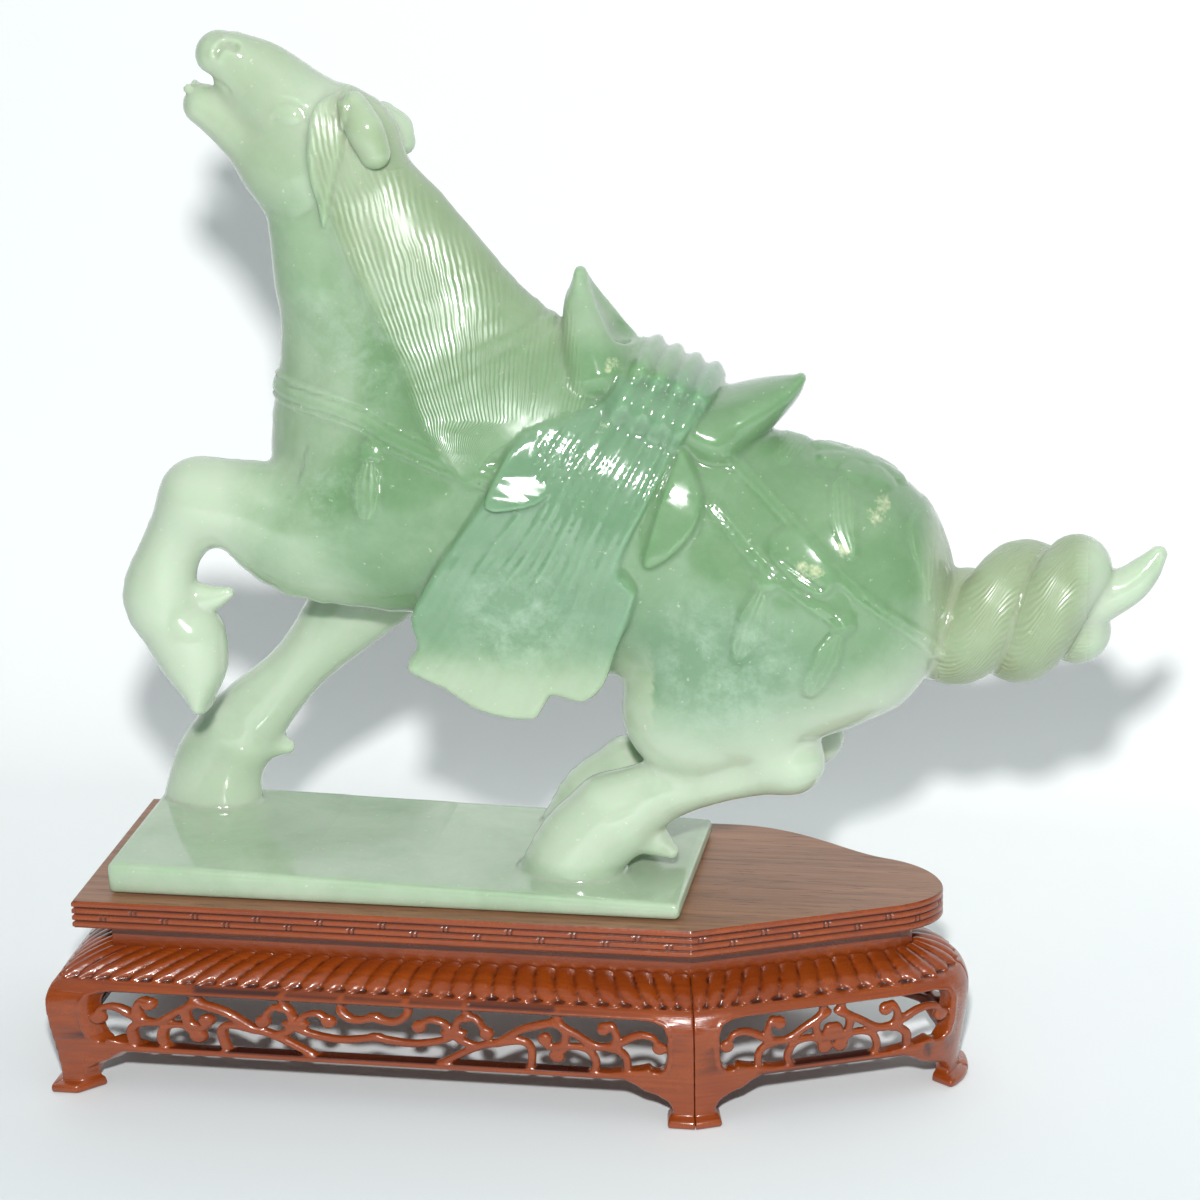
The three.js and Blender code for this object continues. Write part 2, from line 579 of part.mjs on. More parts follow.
const mane = outlineOf([[-52, 330], [-63, 320], [-65, 303], [-60, 287], [-53, 271], [-45, 256],
  [-37, 241], [-29, 222], [-15, 206], [-6, 217], [8, 223], [21, 227], [20, 245], [14, 262],
  [-10, 290], [-38, 318]]);
const cloth = outlineOf([[27, 232], [3, 224], [-6, 208], [-19, 189], [-30, 173], [-35, 162],
  [-33, 153], [-37, 145], [-25, 139], [-16, 133], [-6, 130], [5, 130], [10, 138], [20, 136],
  [27, 142], [31, 153], [38, 173], [33, 182], [43, 204], [53, 222], [62, 237], [40, 252]]);
const straps = [
  { width: 8, line: [[-86, 232], [-68, 230], [-52, 227], [-40, 221], [-24, 215], [-6, 209]] },
  { width: 4.5, line: [[66, 216], [78, 206], [99, 188], [115, 172], [134, 155]] },
  { width: 4.5, line: [[72, 195], [88, 180], [110, 158], [124, 146]] },
  { width: 7, line: [[-46, 217], [-49, 207], [-46, 196]] },
  { width: 8, line: [[80, 177], [73, 155], [70, 130]] },
];

function ridge(distance, rise, soften) {
  return rise * THREE.MathUtils.smoothstep(-distance, -soften / 2, soften / 2);
}

// How far the carving stands out from the smooth body, the same on both sides
const MANE_RISE = 1.8;
const CLOTH_RISE = 2;
const FOLD_RISE = 0.9;
const FOLD_TURNS = 95;
const STRAP_RISE = 1.3;
const FAN = [60, 262];
const rosette = { heart: [106, BODY, 211], radius: 16, rise: 1.8 };
const foldWave = (x, z) => Math.sin(Math.atan2(z - FAN[1], x - FAN[0]) * FOLD_TURNS);
function carving(x, y, z) {
  const clothGap = outlineDistance(cloth, x, z);
  let rise = Math.max(ridge(outlineDistance(mane, x, z), MANE_RISE, 1.6),
    ridge(clothGap, CLOTH_RISE, 1.6));
  if (clothGap < 0) {
    const away = THREE.MathUtils.smoothstep(Math.hypot(x - FAN[0], z - FAN[1]), 40, 90);
    rise += FOLD_RISE * away * foldWave(x, z);
  }
  for (const { width, line } of straps) {
    let gap = Infinity;
    for (let i = 0; i + 1 < line.length; i += 1) {
      const [ax, az] = line[i];
      const dx = line[i + 1][0] - ax;
      const dz = line[i + 1][1] - az;
      const t = THREE.MathUtils.clamp(((x - ax) * dx + (z - az) * dz) / (dx * dx + dz * dz), 0, 1);
      gap = Math.min(gap, Math.hypot(x - ax - t * dx, z - az - t * dz));
    }
    rise = Math.max(rise, ridge(gap - width / 2, STRAP_RISE, 1.4));
  }
  const [hx, hy, hz] = rosette.heart;
  const petals = Math.hypot(x - hx, y - hy, z - hz) - rosette.radius;
  return Math.max(rise, ridge(petals, rosette.rise, 2));
}

// The cloth's skirt hangs clear of the body, and the mouth is a wedge cut across the muzzle
const SKIRT_TOP = 172;
const SKIRT_REACH = 31.5;
const mouth = { x: -99.8, z: 330.6, length: 13.2, rise: 3.9, half: 1.2, opens: 3.8 };
const slabTop = (x) => THREE.MathUtils.lerp(DRAWN_SLAB_TOP[2] + 2.5, DRAWN_SLAB_TOP[2] - 2.5,
  (x - SLAB_LEFT) / SLAB_LENGTH);
function horseField(x, y, z) {
  let field = 40;
  for (const { blend, line, box } of limbs) {
    const outside = Math.hypot(Math.max(box.min.x - x, 0, x - box.max.x),
      Math.max(box.min.y - y, 0, y - box.max.y), Math.max(box.min.z - z, 0, z - box.max.z));
    if (outside < 12) field = blendMin(field, limbDistance(line, x, y, z), blend);
  }
  if (x > TAIL.from - 14) {
    const [one, other] = tail.map(({ line }) => strandDistance(line, x, y, z));
    field = blendMin(field, blendMin(one, other, 1.5), 2);
  }
  if (Math.abs(field) < 9) field -= carving(x, y, z);
  if (z < SKIRT_TOP + 4 && x < 45 && x > -45) {
    const fold = 0.7 * FOLD_RISE * foldWave(x, z);
    const sheet = Math.abs(Math.abs(y - BODY) - SKIRT_REACH - fold) - CLOTH_THICKNESS / 2;
    const skirt = Math.max(sheet, outlineDistance(cloth, x, z), z - SKIRT_TOP);
    field = blendMin(field, skirt, 3);
  }
  if (x < -90 && z > 310) {
    const along = THREE.MathUtils.clamp((mouth.x - x) / mouth.length, 0, 1);
    const wedge = Math.hypot(Math.min(0, mouth.x - x), z - mouth.z - along * mouth.rise);
    field = Math.max(field, mouth.half + along * mouth.opens - wedge);
  }
  return Math.max(field, slabTop(x) - 2.5 - z);
}

// Each grid cube is cut in six tetrahedra, and the surface is drawn through their edges
const tetrahedra = [[0, 1, 3, 7], [0, 5, 1, 7], [0, 3, 2, 7], [0, 2, 6, 7], [0, 4, 5, 7], [0, 6, 4, 7]];
const oneIn = [[0, 1, 2, 3], [1, 0, 3, 2], [2, 3, 0, 1], [3, 2, 1, 0]];
const twoIn = [[0, 1, 2, 3], [0, 2, 3, 1], [0, 3, 1, 2], [1, 2, 0, 3], [1, 3, 2, 0], [2, 3, 0, 1]];
function drawSurface(field, low, high, cell) {
  const count = low.map((value, c) => Math.ceil((high[c] - value) / cell) + 1);
  const index = (i, j, k) => (k * count[1] + j) * count[0] + i;
  const values = new Float64Array(count[0] * count[1] * count[2]);
  for (let k = 0; k < count[2]; k += 1) {
    for (let j = 0; j < count[1]; j += 1) {
      for (let i = 0; i < count[0]; i += 1) {
        const value = field(low[0] + i * cell, low[1] + j * cell, low[2] + k * cell);
        values[index(i, j, k)] = Math.abs(value) < 1e-6 ? 1e-6 : value;
      }
    }
  }
  const points = [];
  const faces = [];
  const crossings = new Map();
  const offsets = [...Array(8).keys()].map((bits) => [bits & 1, (bits >> 1) & 1, bits >> 2]);
  const cross = (i, j, k, from, to) => {
    const [a, b] = from < to ? [from, to] : [to, from];
    const [ai, aj, ak] = offsets[a];
    const key = index(i + ai, j + aj, k + ak) * 8 + (a ^ b);
    if (!crossings.has(key)) {
      const va = values[index(i + ai, j + aj, k + ak)];
      const vb = values[index(i + offsets[b][0], j + offsets[b][1], k + offsets[b][2])];
      const t = THREE.MathUtils.clamp(va / (va - vb), 0.06, 0.94);
      crossings.set(key, points.length);
      points.push([i, j, k].map((at, c) => low[c]
        + cell * (at + offsets[a][c] + t * (offsets[b][c] - offsets[a][c]))));
    }
    return crossings.get(key);
  };
  for (let k = 0; k + 1 < count[2]; k += 1) {
    for (let j = 0; j + 1 < count[1]; j += 1) {
      for (let i = 0; i + 1 < count[0]; i += 1) {
        const inside = offsets.map(([a, b, c]) => values[index(i + a, j + b, k + c)] < 0);
        if (inside.every(Boolean) || !inside.some(Boolean)) continue;
        for (const tetra of tetrahedra) {
          const within = tetra.map((corner) => inside[corner]);
          const total = within.filter(Boolean).length;
          const at = (a, b) => cross(i, j, k, tetra[a], tetra[b]);
          if (total === 1 || total === 3) {
            const [a, b, c, d] = oneIn[within.indexOf(total === 1)];
            if (total === 1) faces.push([at(a, b), at(a, c), at(a, d)]);
            else faces.push([at(a, b), at(a, d), at(a, c)]);
          } else if (total === 2) {
            const [a, b, c, d] = twoIn.find(([p, q]) => within[p] && within[q]);
            faces.push([at(a, c), at(a, d), at(b, d)], [at(a, c), at(b, d), at(b, c)]);
          }
        }
      }
    }
  }
  return { points, faces };
}

// Thinning: the edge whose loss changes the surface least is closed up first
function thin({ points, faces }, target) {
  const place = points.map((point) => [...point]);
  const around = place.map(() => new Set());
  const planes = place.map(() => new Float64Array(10));
  const stamp = new Uint32Array(place.length);
  const live = faces.map((face) => [...face]);
  const normalOf = ([a, b, c], moved, to) => {
    const [p, q, r] = [a, b, c].map((v) => (v === moved[0] || v === moved[1] ? to : place[v]));
    const u = [q[0] - p[0], q[1] - p[1], q[2] - p[2]];
    const v = [r[0] - p[0], r[1] - p[1], r[2] - p[2]];
    return [u[1] * v[2] - u[2] * v[1], u[2] * v[0] - u[0] * v[2], u[0] * v[1] - u[1] * v[0]];
  };
  live.forEach((face, f) => {
    const normal = normalOf(face, [-1, -1]);
    const size = Math.hypot(...normal) || 1;
    const [a, b, c] = normal.map((value) => value / size);
    const d = -(a * place[face[0]][0] + b * place[face[0]][1] + c * place[face[0]][2]);
    const terms = [a * a, a * b, a * c, a * d, b * b, b * c, b * d, c * c, c * d, d * d];
    for (const v of face) {
      around[v].add(f);
      for (let t = 0; t < 10; t += 1) planes[v][t] += terms[t] * size;
    }
  });
  const errorAt = (q, [x, y, z]) => q[0] * x * x + 2 * q[1] * x * y + 2 * q[2] * x * z + 2 * q[3] * x
    + q[4] * y * y + 2 * q[5] * y * z + 2 * q[6] * y + q[7] * z * z + 2 * q[8] * z + q[9];
  const best = (a, b) => {
    const q = planes[a].map((value, t) => value + planes[b][t]);
    const middle = place[a].map((value, c) => (value + place[b][c]) / 2);
    const matrix = new THREE.Matrix3().set(q[0], q[1], q[2], q[1], q[4], q[5], q[2], q[5], q[7]);
    const size = Math.hypot(...place[a].map((value, c) => value - place[b][c]));
    const choices = [middle, place[a], place[b]];
    const trace = q[0] + q[4] + q[7];
    if (Math.abs(matrix.determinant()) > 1e-4 * trace ** 3) {
      const v = new THREE.Vector3(-q[3], -q[6], -q[8]).applyMatrix3(matrix.invert());
      if (Math.hypot(v.x - middle[0], v.y - middle[1], v.z - middle[2]) < size) choices.unshift(v.toArray());
    }
    const costs = choices.map((choice) => errorAt(q, choice));
    const least = costs.indexOf(Math.min(...costs));
    return [Math.max(0, costs[least]) + 1e-5 * size * size, choices[least]];
  };
  const heap = [];
  const swap = (i, j) => { [heap[i], heap[j]] = [heap[j], heap[i]]; };
  const push = (entry) => {
    heap.push(entry);
    for (let i = heap.length - 1; i > 0 && heap[i][0] < heap[(i - 1) >> 1][0]; i = (i - 1) >> 1) {
      swap(i, (i - 1) >> 1);
    }
  };
  const pop = () => {
    const top = heap[0];
    const last = heap.pop();
    if (heap.length > 0) heap[0] = last;
    for (let i = 0; ;) {
      let small = i;
      for (const child of [2 * i + 1, 2 * i + 2]) {
        if (child < heap.length && heap[child][0] < heap[small][0]) small = child;
      }
      if (small === i) return top;
      swap(i, small);
      i = small;
    }
  };
  const ringOf = (v) => {
    const ring = new Set();
    for (const f of around[v]) for (const w of live[f]) if (w !== v) ring.add(w);
    return ring;
  };
  const offer = (a, b) => {
    const [cost, to] = best(a, b);
    push([cost, a, b, stamp[a] + stamp[b], to]);
  };
  place.forEach((_, a) => { for (const b of ringOf(a)) if (a < b) offer(a, b); });
  let left = live.length;
  while (left > target && heap.length > 0) {
    const [, a, b, at, to] = pop();
    if (around[a].size === 0 || around[b].size === 0 || at !== stamp[a] + stamp[b]) continue;
    const ringA = ringOf(a);
    const ringB = ringOf(b);
    if (!ringA.has(b)) continue;
    if ([...ringA].filter((v) => ringB.has(v)).length !== 2) continue;
    const moved = [...new Set([...around[a], ...around[b]])]
      .filter((f) => !(live[f].includes(a) && live[f].includes(b)));
    const turned = moved.some((f) => {
      const before = normalOf(live[f], [-1, -1]);
      const after = normalOf(live[f], [a, b], to);
      const same = before[0] * after[0] + before[1] * after[1] + before[2] * after[2];
      return same < 0.25 * Math.hypot(...before) * Math.hypot(...after) || Math.hypot(...after) < 1e-3;
    });
    if (turned) continue;
    for (const f of [...around[b]]) {
      if (live[f].includes(a)) {
        for (const v of live[f]) around[v].delete(f);
        live[f] = [];
        left -= 1;
      } else {
        live[f] = live[f].map((v) => (v === b ? a : v));
        around[a].add(f);
      }
    }
    around[b].clear();
    place[a] = to;
    for (let t = 0; t < 10; t += 1) planes[a][t] += planes[b][t];
    stamp[a] += stamp[b] + 1;
    for (const v of ringOf(a)) offer(a, v);
  }
  const geometry = new THREE.BufferGeometry();
  geometry.setAttribute('position', new THREE.Float32BufferAttribute(place.flat(), 3));
  geometry.setIndex(live.flat());
  return mergeVertices(geometry, 1e-5);
}

// Slab: bevelled round its upper edge, its top falling towards the tail
function makeSlab() {
  const ring = (inset, share) => {
    const [x0, x1] = [SLAB_LEFT + inset, SLAB_LEFT + SLAB_LENGTH - inset];
    const [y0, y1] = [SLAB_MIDDLE_Y - SLAB_DEPTH / 2 + inset, SLAB_MIDDLE_Y + SLAB_DEPTH / 2 - inset];
    const cut = SLAB_EDGE_RADIUS;
    const corners = [[x0 + cut, y0], [x1 - cut, y0], [x1, y0 + cut], [x1, y1 - cut],
      [x1 - cut, y1], [x0 + cut, y1], [x0, y1 - cut], [x0, y0 + cut]];
    const base = STAND_HEIGHT + FIT_GAP;
    return corners.map(([x, y]) => [x, y, base + share * slabHeight(x)]);
  };
  return loft([ring(0, 0), ring(0, 0.75), ring(SLAB_EDGE_RADIUS * 0.4, 0.92), ring(SLAB_EDGE_RADIUS, 1)]);
}

function slabHeight(x) {
  return THREE.MathUtils.lerp(SLAB_LEFT_THICKNESS, SLAB_RIGHT_THICKNESS, (x - SLAB_LEFT) / SLAB_LENGTH);
}

function makeHorse() {
  const drawn = drawSurface(horseField, [-142, -40, 62], [206, 46, 350], FIELD_CELL);
  const figure = thin(drawn, HORSE_TRIANGLES);
  const middle = [SLAB_LEFT + SLAB_LENGTH / 2, SLAB_MIDDLE_Y];
  figure.translate(-DRAWN_SLAB_TOP[0], -DRAWN_SLAB_TOP[1], -DRAWN_SLAB_TOP[2]);
  figure.scale(scale, scale, scale);
  figure.translate(...middle, STAND_HEIGHT + FIT_GAP + slabHeight(middle[0]));
  return toGeometry(joinSolids([figure, makeSlab()]));
}

const group = new THREE.Group();
function add(name, geometry, material) {
  const mesh = new THREE.Mesh(geometry, material);
  mesh.name = name;
  group.add(mesh);
}
add('horse', makeHorse(), jade);
add('stand_top', makeBoard(), boardWood);
add('stand_waist', makeWaist(), lacquer);
for (const side of sides) add(`apron_${side.name}`, makeApron(side), lacquer);
const whole = new THREE.Box3().setFromObject(group);
const centre = whole.getCenter(new THREE.Vector3());
for (const mesh of group.children) mesh.geometry.translate(-centre.x, -centre.y, -whole.min.z);
export default group;
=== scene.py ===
"""Looks of a jade horse on its carved wooden stand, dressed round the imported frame.

Shapes are sculpted in millimetres of the sheet that the solids are drawn in, as signed
distance fields or lofted edges, and moved into the frame's metres at the end.
"""

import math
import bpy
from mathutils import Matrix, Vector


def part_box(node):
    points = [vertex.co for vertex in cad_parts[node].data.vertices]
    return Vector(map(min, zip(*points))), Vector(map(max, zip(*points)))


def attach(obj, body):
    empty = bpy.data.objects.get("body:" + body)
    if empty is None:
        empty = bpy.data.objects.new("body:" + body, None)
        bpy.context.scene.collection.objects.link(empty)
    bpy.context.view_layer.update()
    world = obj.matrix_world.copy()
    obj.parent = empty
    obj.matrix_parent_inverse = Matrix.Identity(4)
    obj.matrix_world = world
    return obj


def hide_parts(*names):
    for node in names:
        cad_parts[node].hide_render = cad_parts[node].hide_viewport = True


bl_info = {
    "name": "Jade horse on a carved stand",
    "version": (1, 0, 0),
    "blender": (4, 5, 0),
    "location": "3D View > Sidebar > Jade Horse",
    "description": "Carves the jade horse and its wooden stand and lights them",
    "category": "Object",
}

import bmesh
import bpy
import numpy as np
from mathutils import Matrix, Vector

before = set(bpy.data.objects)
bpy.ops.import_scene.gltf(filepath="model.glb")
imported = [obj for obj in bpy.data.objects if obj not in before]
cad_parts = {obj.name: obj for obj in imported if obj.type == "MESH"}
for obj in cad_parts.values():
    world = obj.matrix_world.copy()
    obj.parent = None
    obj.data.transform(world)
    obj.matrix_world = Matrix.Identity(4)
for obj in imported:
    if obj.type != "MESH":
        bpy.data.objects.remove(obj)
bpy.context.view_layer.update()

MM = 0.001

# The sheet of the solids: the stand's plan and heights, in millimetres
BOARD_LEFT = -150.0
BOARD_FRONT = -44.0
SHIFT = np.array([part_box("stand_top")[0][0] / MM - BOARD_LEFT,
                  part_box("stand_top")[0][1] / MM - BOARD_FRONT, 0.0])
BOARD_LENGTH = (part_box("stand_top")[1][0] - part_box("stand_top")[0][0]) / MM
BOARD_DEPTH = (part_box("stand_top")[1][1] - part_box("stand_top")[0][1]) / MM
BOARD_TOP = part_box("stand_top")[1][2] / MM
BOARD_THICKNESS = BOARD_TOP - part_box("stand_top")[0][2] / MM
SHOULDER_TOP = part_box("apron_front")[1][2] / MM
FRONT_LENGTH = 206.0
BACK_LENGTH = 207.0
TIP_FROM_FRONT = 45.0
OPENING_TOP = 37.0
OPENING_BOTTOM = 17.6
LOWER_RAIL = 2.3
FOOT_HEIGHT = 3.4
WAIST_INSET = 10.0
APRON_THICKNESS = 5.5
BELLY_BULGE = 8.6
ANKLE_BULGE = 5.6
TOE_BULGE = 8.8
LEG_WIDTH = 12.5
BRACKET_LENGTH = 24.0
LOBE_PITCH = 7.2
VINE_WIDTH = 2.6
VINE_DEPTH = 3.0
FIT_GAP = 0.3
SEAM = 0.06

# The jade in the sheet: the pose stands where the solids have it
SLAB_LEFT = -139.4
SLAB_LENGTH = 190.5
SLAB_DEPTH = 75.7
SLAB_MIDDLE_Y = 1.0
SLAB_LEFT_THICKNESS = 10.5
SLAB_RIGHT_THICKNESS = 5.5
SLAB_BASE = BOARD_TOP + FIT_GAP
DRAWN_SLAB_TOP = np.array([-44.0, 1.0, 73.6])
POSE_SHIFT = np.array([
    SLAB_LEFT + SLAB_LENGTH / 2, SLAB_MIDDLE_Y,
    SLAB_BASE + (SLAB_LEFT_THICKNESS + SLAB_RIGHT_THICKNESS) / 2]) - DRAWN_SLAB_TOP


def linear(hex_colour):
    """An sRGB hex colour as the linear values that Blender's shaders take."""
    parts = [int(hex_colour[i:i + 2], 16) / 255 for i in (1, 3, 5)]
    return tuple(c / 12.92 if c <= 0.04045 else ((c + 0.055) / 1.055) ** 2.4 for c in parts)


def colour_setting(name, description, hex_colour):
    return bpy.props.FloatVectorProperty(
        name=name, description=description, subtype="COLOR", default=linear(hex_colour))


class JadeSettings(bpy.types.PropertyGroup):
    """Finish and fineness of the carved jade."""

    cell: bpy.props.FloatProperty(
        name="Carving grain", description="Spacing of the sculpting grid, in millimetres",
        default=0.95, min=0.6, max=4.0)
    faces: bpy.props.IntProperty(
        name="Triangles", description="Triangles kept on the horse", default=192000, min=20000)
    relief: bpy.props.FloatProperty(
        name="Relief", description="Height of the low carving, as a share of the real one",
        default=1.0, min=0.0, max=2.0)
    pale: colour_setting("Pale jade", "Colour where the stone is thin", "#B7C6AF")
    green: colour_setting("Green jade", "Colour of the thick body", "#73956E")
    sea: colour_setting("Sea-green jade", "Colour of the cloth and thighs", "#729579")
    olive: colour_setting("Olive jade", "Colour of the mane and tail", "#8E9E7B")
    roughness: bpy.props.FloatProperty(
        name="Polish", description="Roughness of the polished stone", subtype="FACTOR",
        default=0.12, min=0.0, max=1.0)


class WoodSettings(bpy.types.PropertyGroup):
    """Finish and fineness of the wooden stand."""

    cell: bpy.props.FloatProperty(
        name="Carving grain", description="Spacing of the sculpting grid, in millimetres",
        default=0.6, min=0.4, max=3.0)
    share: bpy.props.FloatProperty(
        name="Triangles kept", description="Share of the sculpted triangles kept",
        subtype="FACTOR", default=0.3, min=0.05, max=1.0)
    light: colour_setting("Light wood", "Lacquered early wood", "#984410")
    # The dark wood colour also paints the shade in the carved hollows.
    dark: colour_setting("Dark wood", "Lacquered late wood and hollows", "#38130A")
    top: colour_setting("Board wood", "Waxed face of the board", "#8A6147")
    pore: colour_setting("Pores", "Open pores of the board", "#3E261E")


class StageSettings(bpy.types.PropertyGroup):
    """Floor, light and camera."""

    floor: colour_setting("Floor", "Colour of the pale floor in front", "#D8DDDF")
    wall: colour_setting("Wall", "Colour of the sweep behind", "#FBFDFD")
    flash: bpy.props.FloatProperty(
        name="Flash", description="Power of the flash over the camera", default=14.6, unit="POWER")
    room: bpy.props.FloatProperty(
        name="Room light", description="Strength of the pale ceiling", default=0.5, min=0.0)
    lens: bpy.props.FloatProperty(
        name="Lens", description="Focal length on a 36 mm sensor", default=104.85,
        unit="CAMERA")


# Numbers and lines shared by all the carving

def smoothstep(value, low, high):
    t = np.clip((value - low) / (high - low), 0, 1)
    return t * t * (3 - 2 * t)


def blend_min(a, b, reach):
    share = np.clip(0.5 + 0.5 * (b - a) / reach, 0, 1)
    return b + (a - b) * share - reach * share * (1 - share)


def blend_max(a, b, reach):
    return -blend_min(-a, -b, reach)


def smooth_line(nodes, steps):
    """Points of a smooth curve through nodes of any number of values."""
    nodes = np.array(nodes, float)
    padded = np.vstack([nodes[:1], nodes, nodes[-1:]])
    slopes = (padded[2:] - padded[:-2]) / 2
    out = []
    for k in range(len(nodes) - 1):
        for s in range(steps):
            t = s / steps
            out.append((2 * t ** 3 - 3 * t ** 2 + 1) * nodes[k]
                       + (t ** 3 - 2 * t ** 2 + t) * slopes[k]
                       + (3 * t ** 2 - 2 * t ** 3) * nodes[k + 1]
                       + (t ** 3 - t ** 2) * slopes[k + 1])
    out.append(nodes[-1])
    return np.array(out)


def closed_line(points, steps=4):
    """A smooth closed outline through its corner points."""
    points = np.array(points, float)
    n = len(points)
    wrapped = points[np.arange(-2, n + 3) % n]
    line = smooth_line(wrapped, steps)
    return line[2 * steps:(2 + n) * steps + 1]


def line_distance(x, z, line):
    """Distance to a polyline, how far along it the nearest place is, and the signed side."""
    best = np.full(x.shape, np.inf)
    at = np.zeros(x.shape)
    side = np.zeros(x.shape)
    done = 0.0
    for (ax, az), (bx, bz) in zip(line[:-1], line[1:]):
        dx, dz = bx - ax, bz - az
        length = math.hypot(dx, dz) + 1e-9
        t = np.clip(((x - ax) * dx + (z - az) * dz) / length ** 2, 0, 1)
        gap = np.hypot(x - ax - t * dx, z - az - t * dz)
        closer = gap < best
        best = np.where(closer, gap, best)
        at = np.where(closer, done + t * length, at)
        side = np.where(closer, ((x - ax) * dz - (z - az) * dx) / length, side)
        done += length
    return best, at, side


def outline_distance(x, z, line):
    """Signed distance to a closed polyline, negative inside."""
    gap = line_distance(x, z, line)[0]
    inside = np.zeros(x.shape, bool)
    for (ax, az), (bx, bz) in zip(line[:-1], line[1:]):
        if az != bz:
            crossed = (az > z) != (bz > z)
            inside ^= crossed & (x < ax + (bx - ax) * (z - az) / (bz - az))
    return np.where(inside, -gap, gap)


# From a field of distances to a mesh

def sample(field, low, high, cell, block=4, reach=1.7):
    """The field on a grid, worked out only in the blocks that the surface may cross."""
    low = np.array(low, float)
    span = block * cell
    count = np.ceil((np.array(high) - low) / span).astype(int)
    spots = np.indices(count).reshape(3, -1).T
    rough = np.concatenate([field(low + span * (part + 0.5))
                            for part in np.array_split(spots, max(1, len(spots) // 40000))])
    grid = np.where(rough < 0, -9.0, 9.0).reshape(count).astype(np.float32)
    for axis in range(3):
        grid = grid.repeat(block, axis)
        grid = np.concatenate([grid, grid.take([-1], axis)], axis)
    local = np.indices((block + 1,) * 3).reshape(3, -1).T
    near = spots[np.abs(rough) < span * reach]
    for part in np.array_split(near, max(1, len(near) // 800)):
        index = (part[:, None] * block + local[None]).reshape(-1, 3)
        grid[tuple(index.T)] = field(low + index * cell)
    return grid


def surface(grid, low, cell):
    """Corner points and quads of the surface where the grid's values pass zero."""
    shape = np.array(grid.shape)
    strides = np.array([shape[1] * shape[2], shape[2], 1])
    flat = grid.ravel()
    inside = flat < 0
    cells, places, quads = [], [], []
    for axis in range(3):
        others = [(axis + 1) % 3, (axis + 2) % 3]
        a = np.arange(flat.size).reshape(shape)
        cut = [slice(1, -1)] * 3
        cut[axis] = slice(0, -1)
        a = a[tuple(cut)].ravel()
        a = a[inside[a] != inside[a + strides[axis]]]
        va, vb = flat[a], flat[a + strides[axis]]
        place = np.stack(np.unravel_index(a, shape), 1).astype(float)
        place[:, axis] += va / (va - vb)
        ring = [a, a - strides[others[0]], a - strides[others[0]] - strides[others[1]],
                a - strides[others[1]]]
        cells += ring
        places += [place] * 4
        quad = np.stack(ring, 1)
        outward = inside[a]
        quad[~outward] = quad[~outward][:, ::-1]
        quads.append(quad)
    cells = np.concatenate(cells)
    places = np.concatenate(places)
    names, back = np.unique(cells, return_inverse=True)
    total = np.bincount(back)
    corners = np.stack([np.bincount(back, places[:, c]) / total for c in range(3)], 1)
    return np.array(low) + cell * corners, np.searchsorted(names, np.concatenate(quads))


def new_mesh(name, points, faces):
    """A mesh object from points in metres and faces of three or four corners."""
    mesh = bpy.data.meshes.new(name)
    sides = faces.shape[1]
    mesh.vertices.add(len(points))
    mesh.vertices.foreach_set("co", np.asarray(points, np.float32).ravel())
    mesh.loops.add(faces.size)
    mesh.loops.foreach_set("vertex_index", faces.astype(np.int32).ravel())
    mesh.polygons.add(len(faces))
    mesh.polygons.foreach_set("loop_start", np.arange(0, faces.size, sides, dtype=np.int32))
    mesh.polygons.foreach_set("use_smooth", np.ones(len(faces), bool))
    mesh.update(calc_edges=True)
    mesh.validate()
    piece = bpy.data.objects.new(name, mesh)
    bpy.context.scene.collection.objects.link(piece)
    return piece


def thin(piece, share):
    """Takes triangles out of a piece where it is flattest."""
    if share < 1:
        piece.modifiers.new("thin", "DECIMATE").ratio = share
        bpy.context.view_layer.objects.active = piece
        bpy.ops.object.modifier_apply(modifier="thin")
    piece.data.polygons.foreach_set("use_smooth", np.ones(len(piece.data.polygons), bool))


def corner_points(piece):
    co = np.zeros(len(piece.data.vertices) * 3, np.float32)
    piece.data.vertices.foreach_get("co", co)
    return co.reshape(-1, 3).astype(float)


def paint(piece, name, values):
    """Keeps one number per corner point on the piece, for its material."""
    layer = piece.data.attributes.new(name, "FLOAT", "POINT")
    layer.data.foreach_set("value", np.asarray(values, np.float32))


def hollows(piece, rounds=3):
    """How far below its neighbours each corner point lies, in mm."""
    points = corner_points(piece)
    edges = np.zeros(len(piece.data.edges) * 2, np.int32)
    piece.data.edges.foreach_get("vertices", edges)
    a, b = edges.reshape(-1, 2).T
    normals = np.zeros(len(points) * 3, np.float32)
    piece.data.vertices.foreach_get("normal", normals)
    normals = normals.reshape(-1, 3)
    degree = np.bincount(a, minlength=len(points)) + np.bincount(b, minlength=len(points))

    def around(values):
        total = np.bincount(a, values[b], len(points)) + np.bincount(b, values[a], len(points))
        return total / np.maximum(degree, 1)

    mean = np.stack([around(points[:, c]) for c in range(3)], 1)
    bend = ((mean - points) * normals).sum(1) / MM
    for _ in range(rounds):
        bend = 0.5 * bend + 0.5 * around(bend)
    return bend


# Node materials

def new_material(name):
    material = bpy.data.materials.new(name)
    material.use_nodes = True
    material.node_tree.nodes.clear()
    output = add_node(material, "ShaderNodeOutputMaterial")
    shader = add_node(material, "ShaderNodeBsdfPrincipled")
    material.node_tree.links.new(shader.outputs["BSDF"], output.inputs["Surface"])
    return material, shader


def add_node(material, kind, settings=None, inputs=None):
    """Adds a node with its settings, and its inputs as values or as other nodes' outputs."""
    node = material.node_tree.nodes.new(kind)
    for name, value in (settings or {}).items():
        setattr(node, name, value)
    for name, value in (inputs or {}).items():
        socket = node.inputs[name]
        if isinstance(value, bpy.types.NodeSocket):
            material.node_tree.links.new(value, socket)
        else:
            socket.default_value = value
    return node


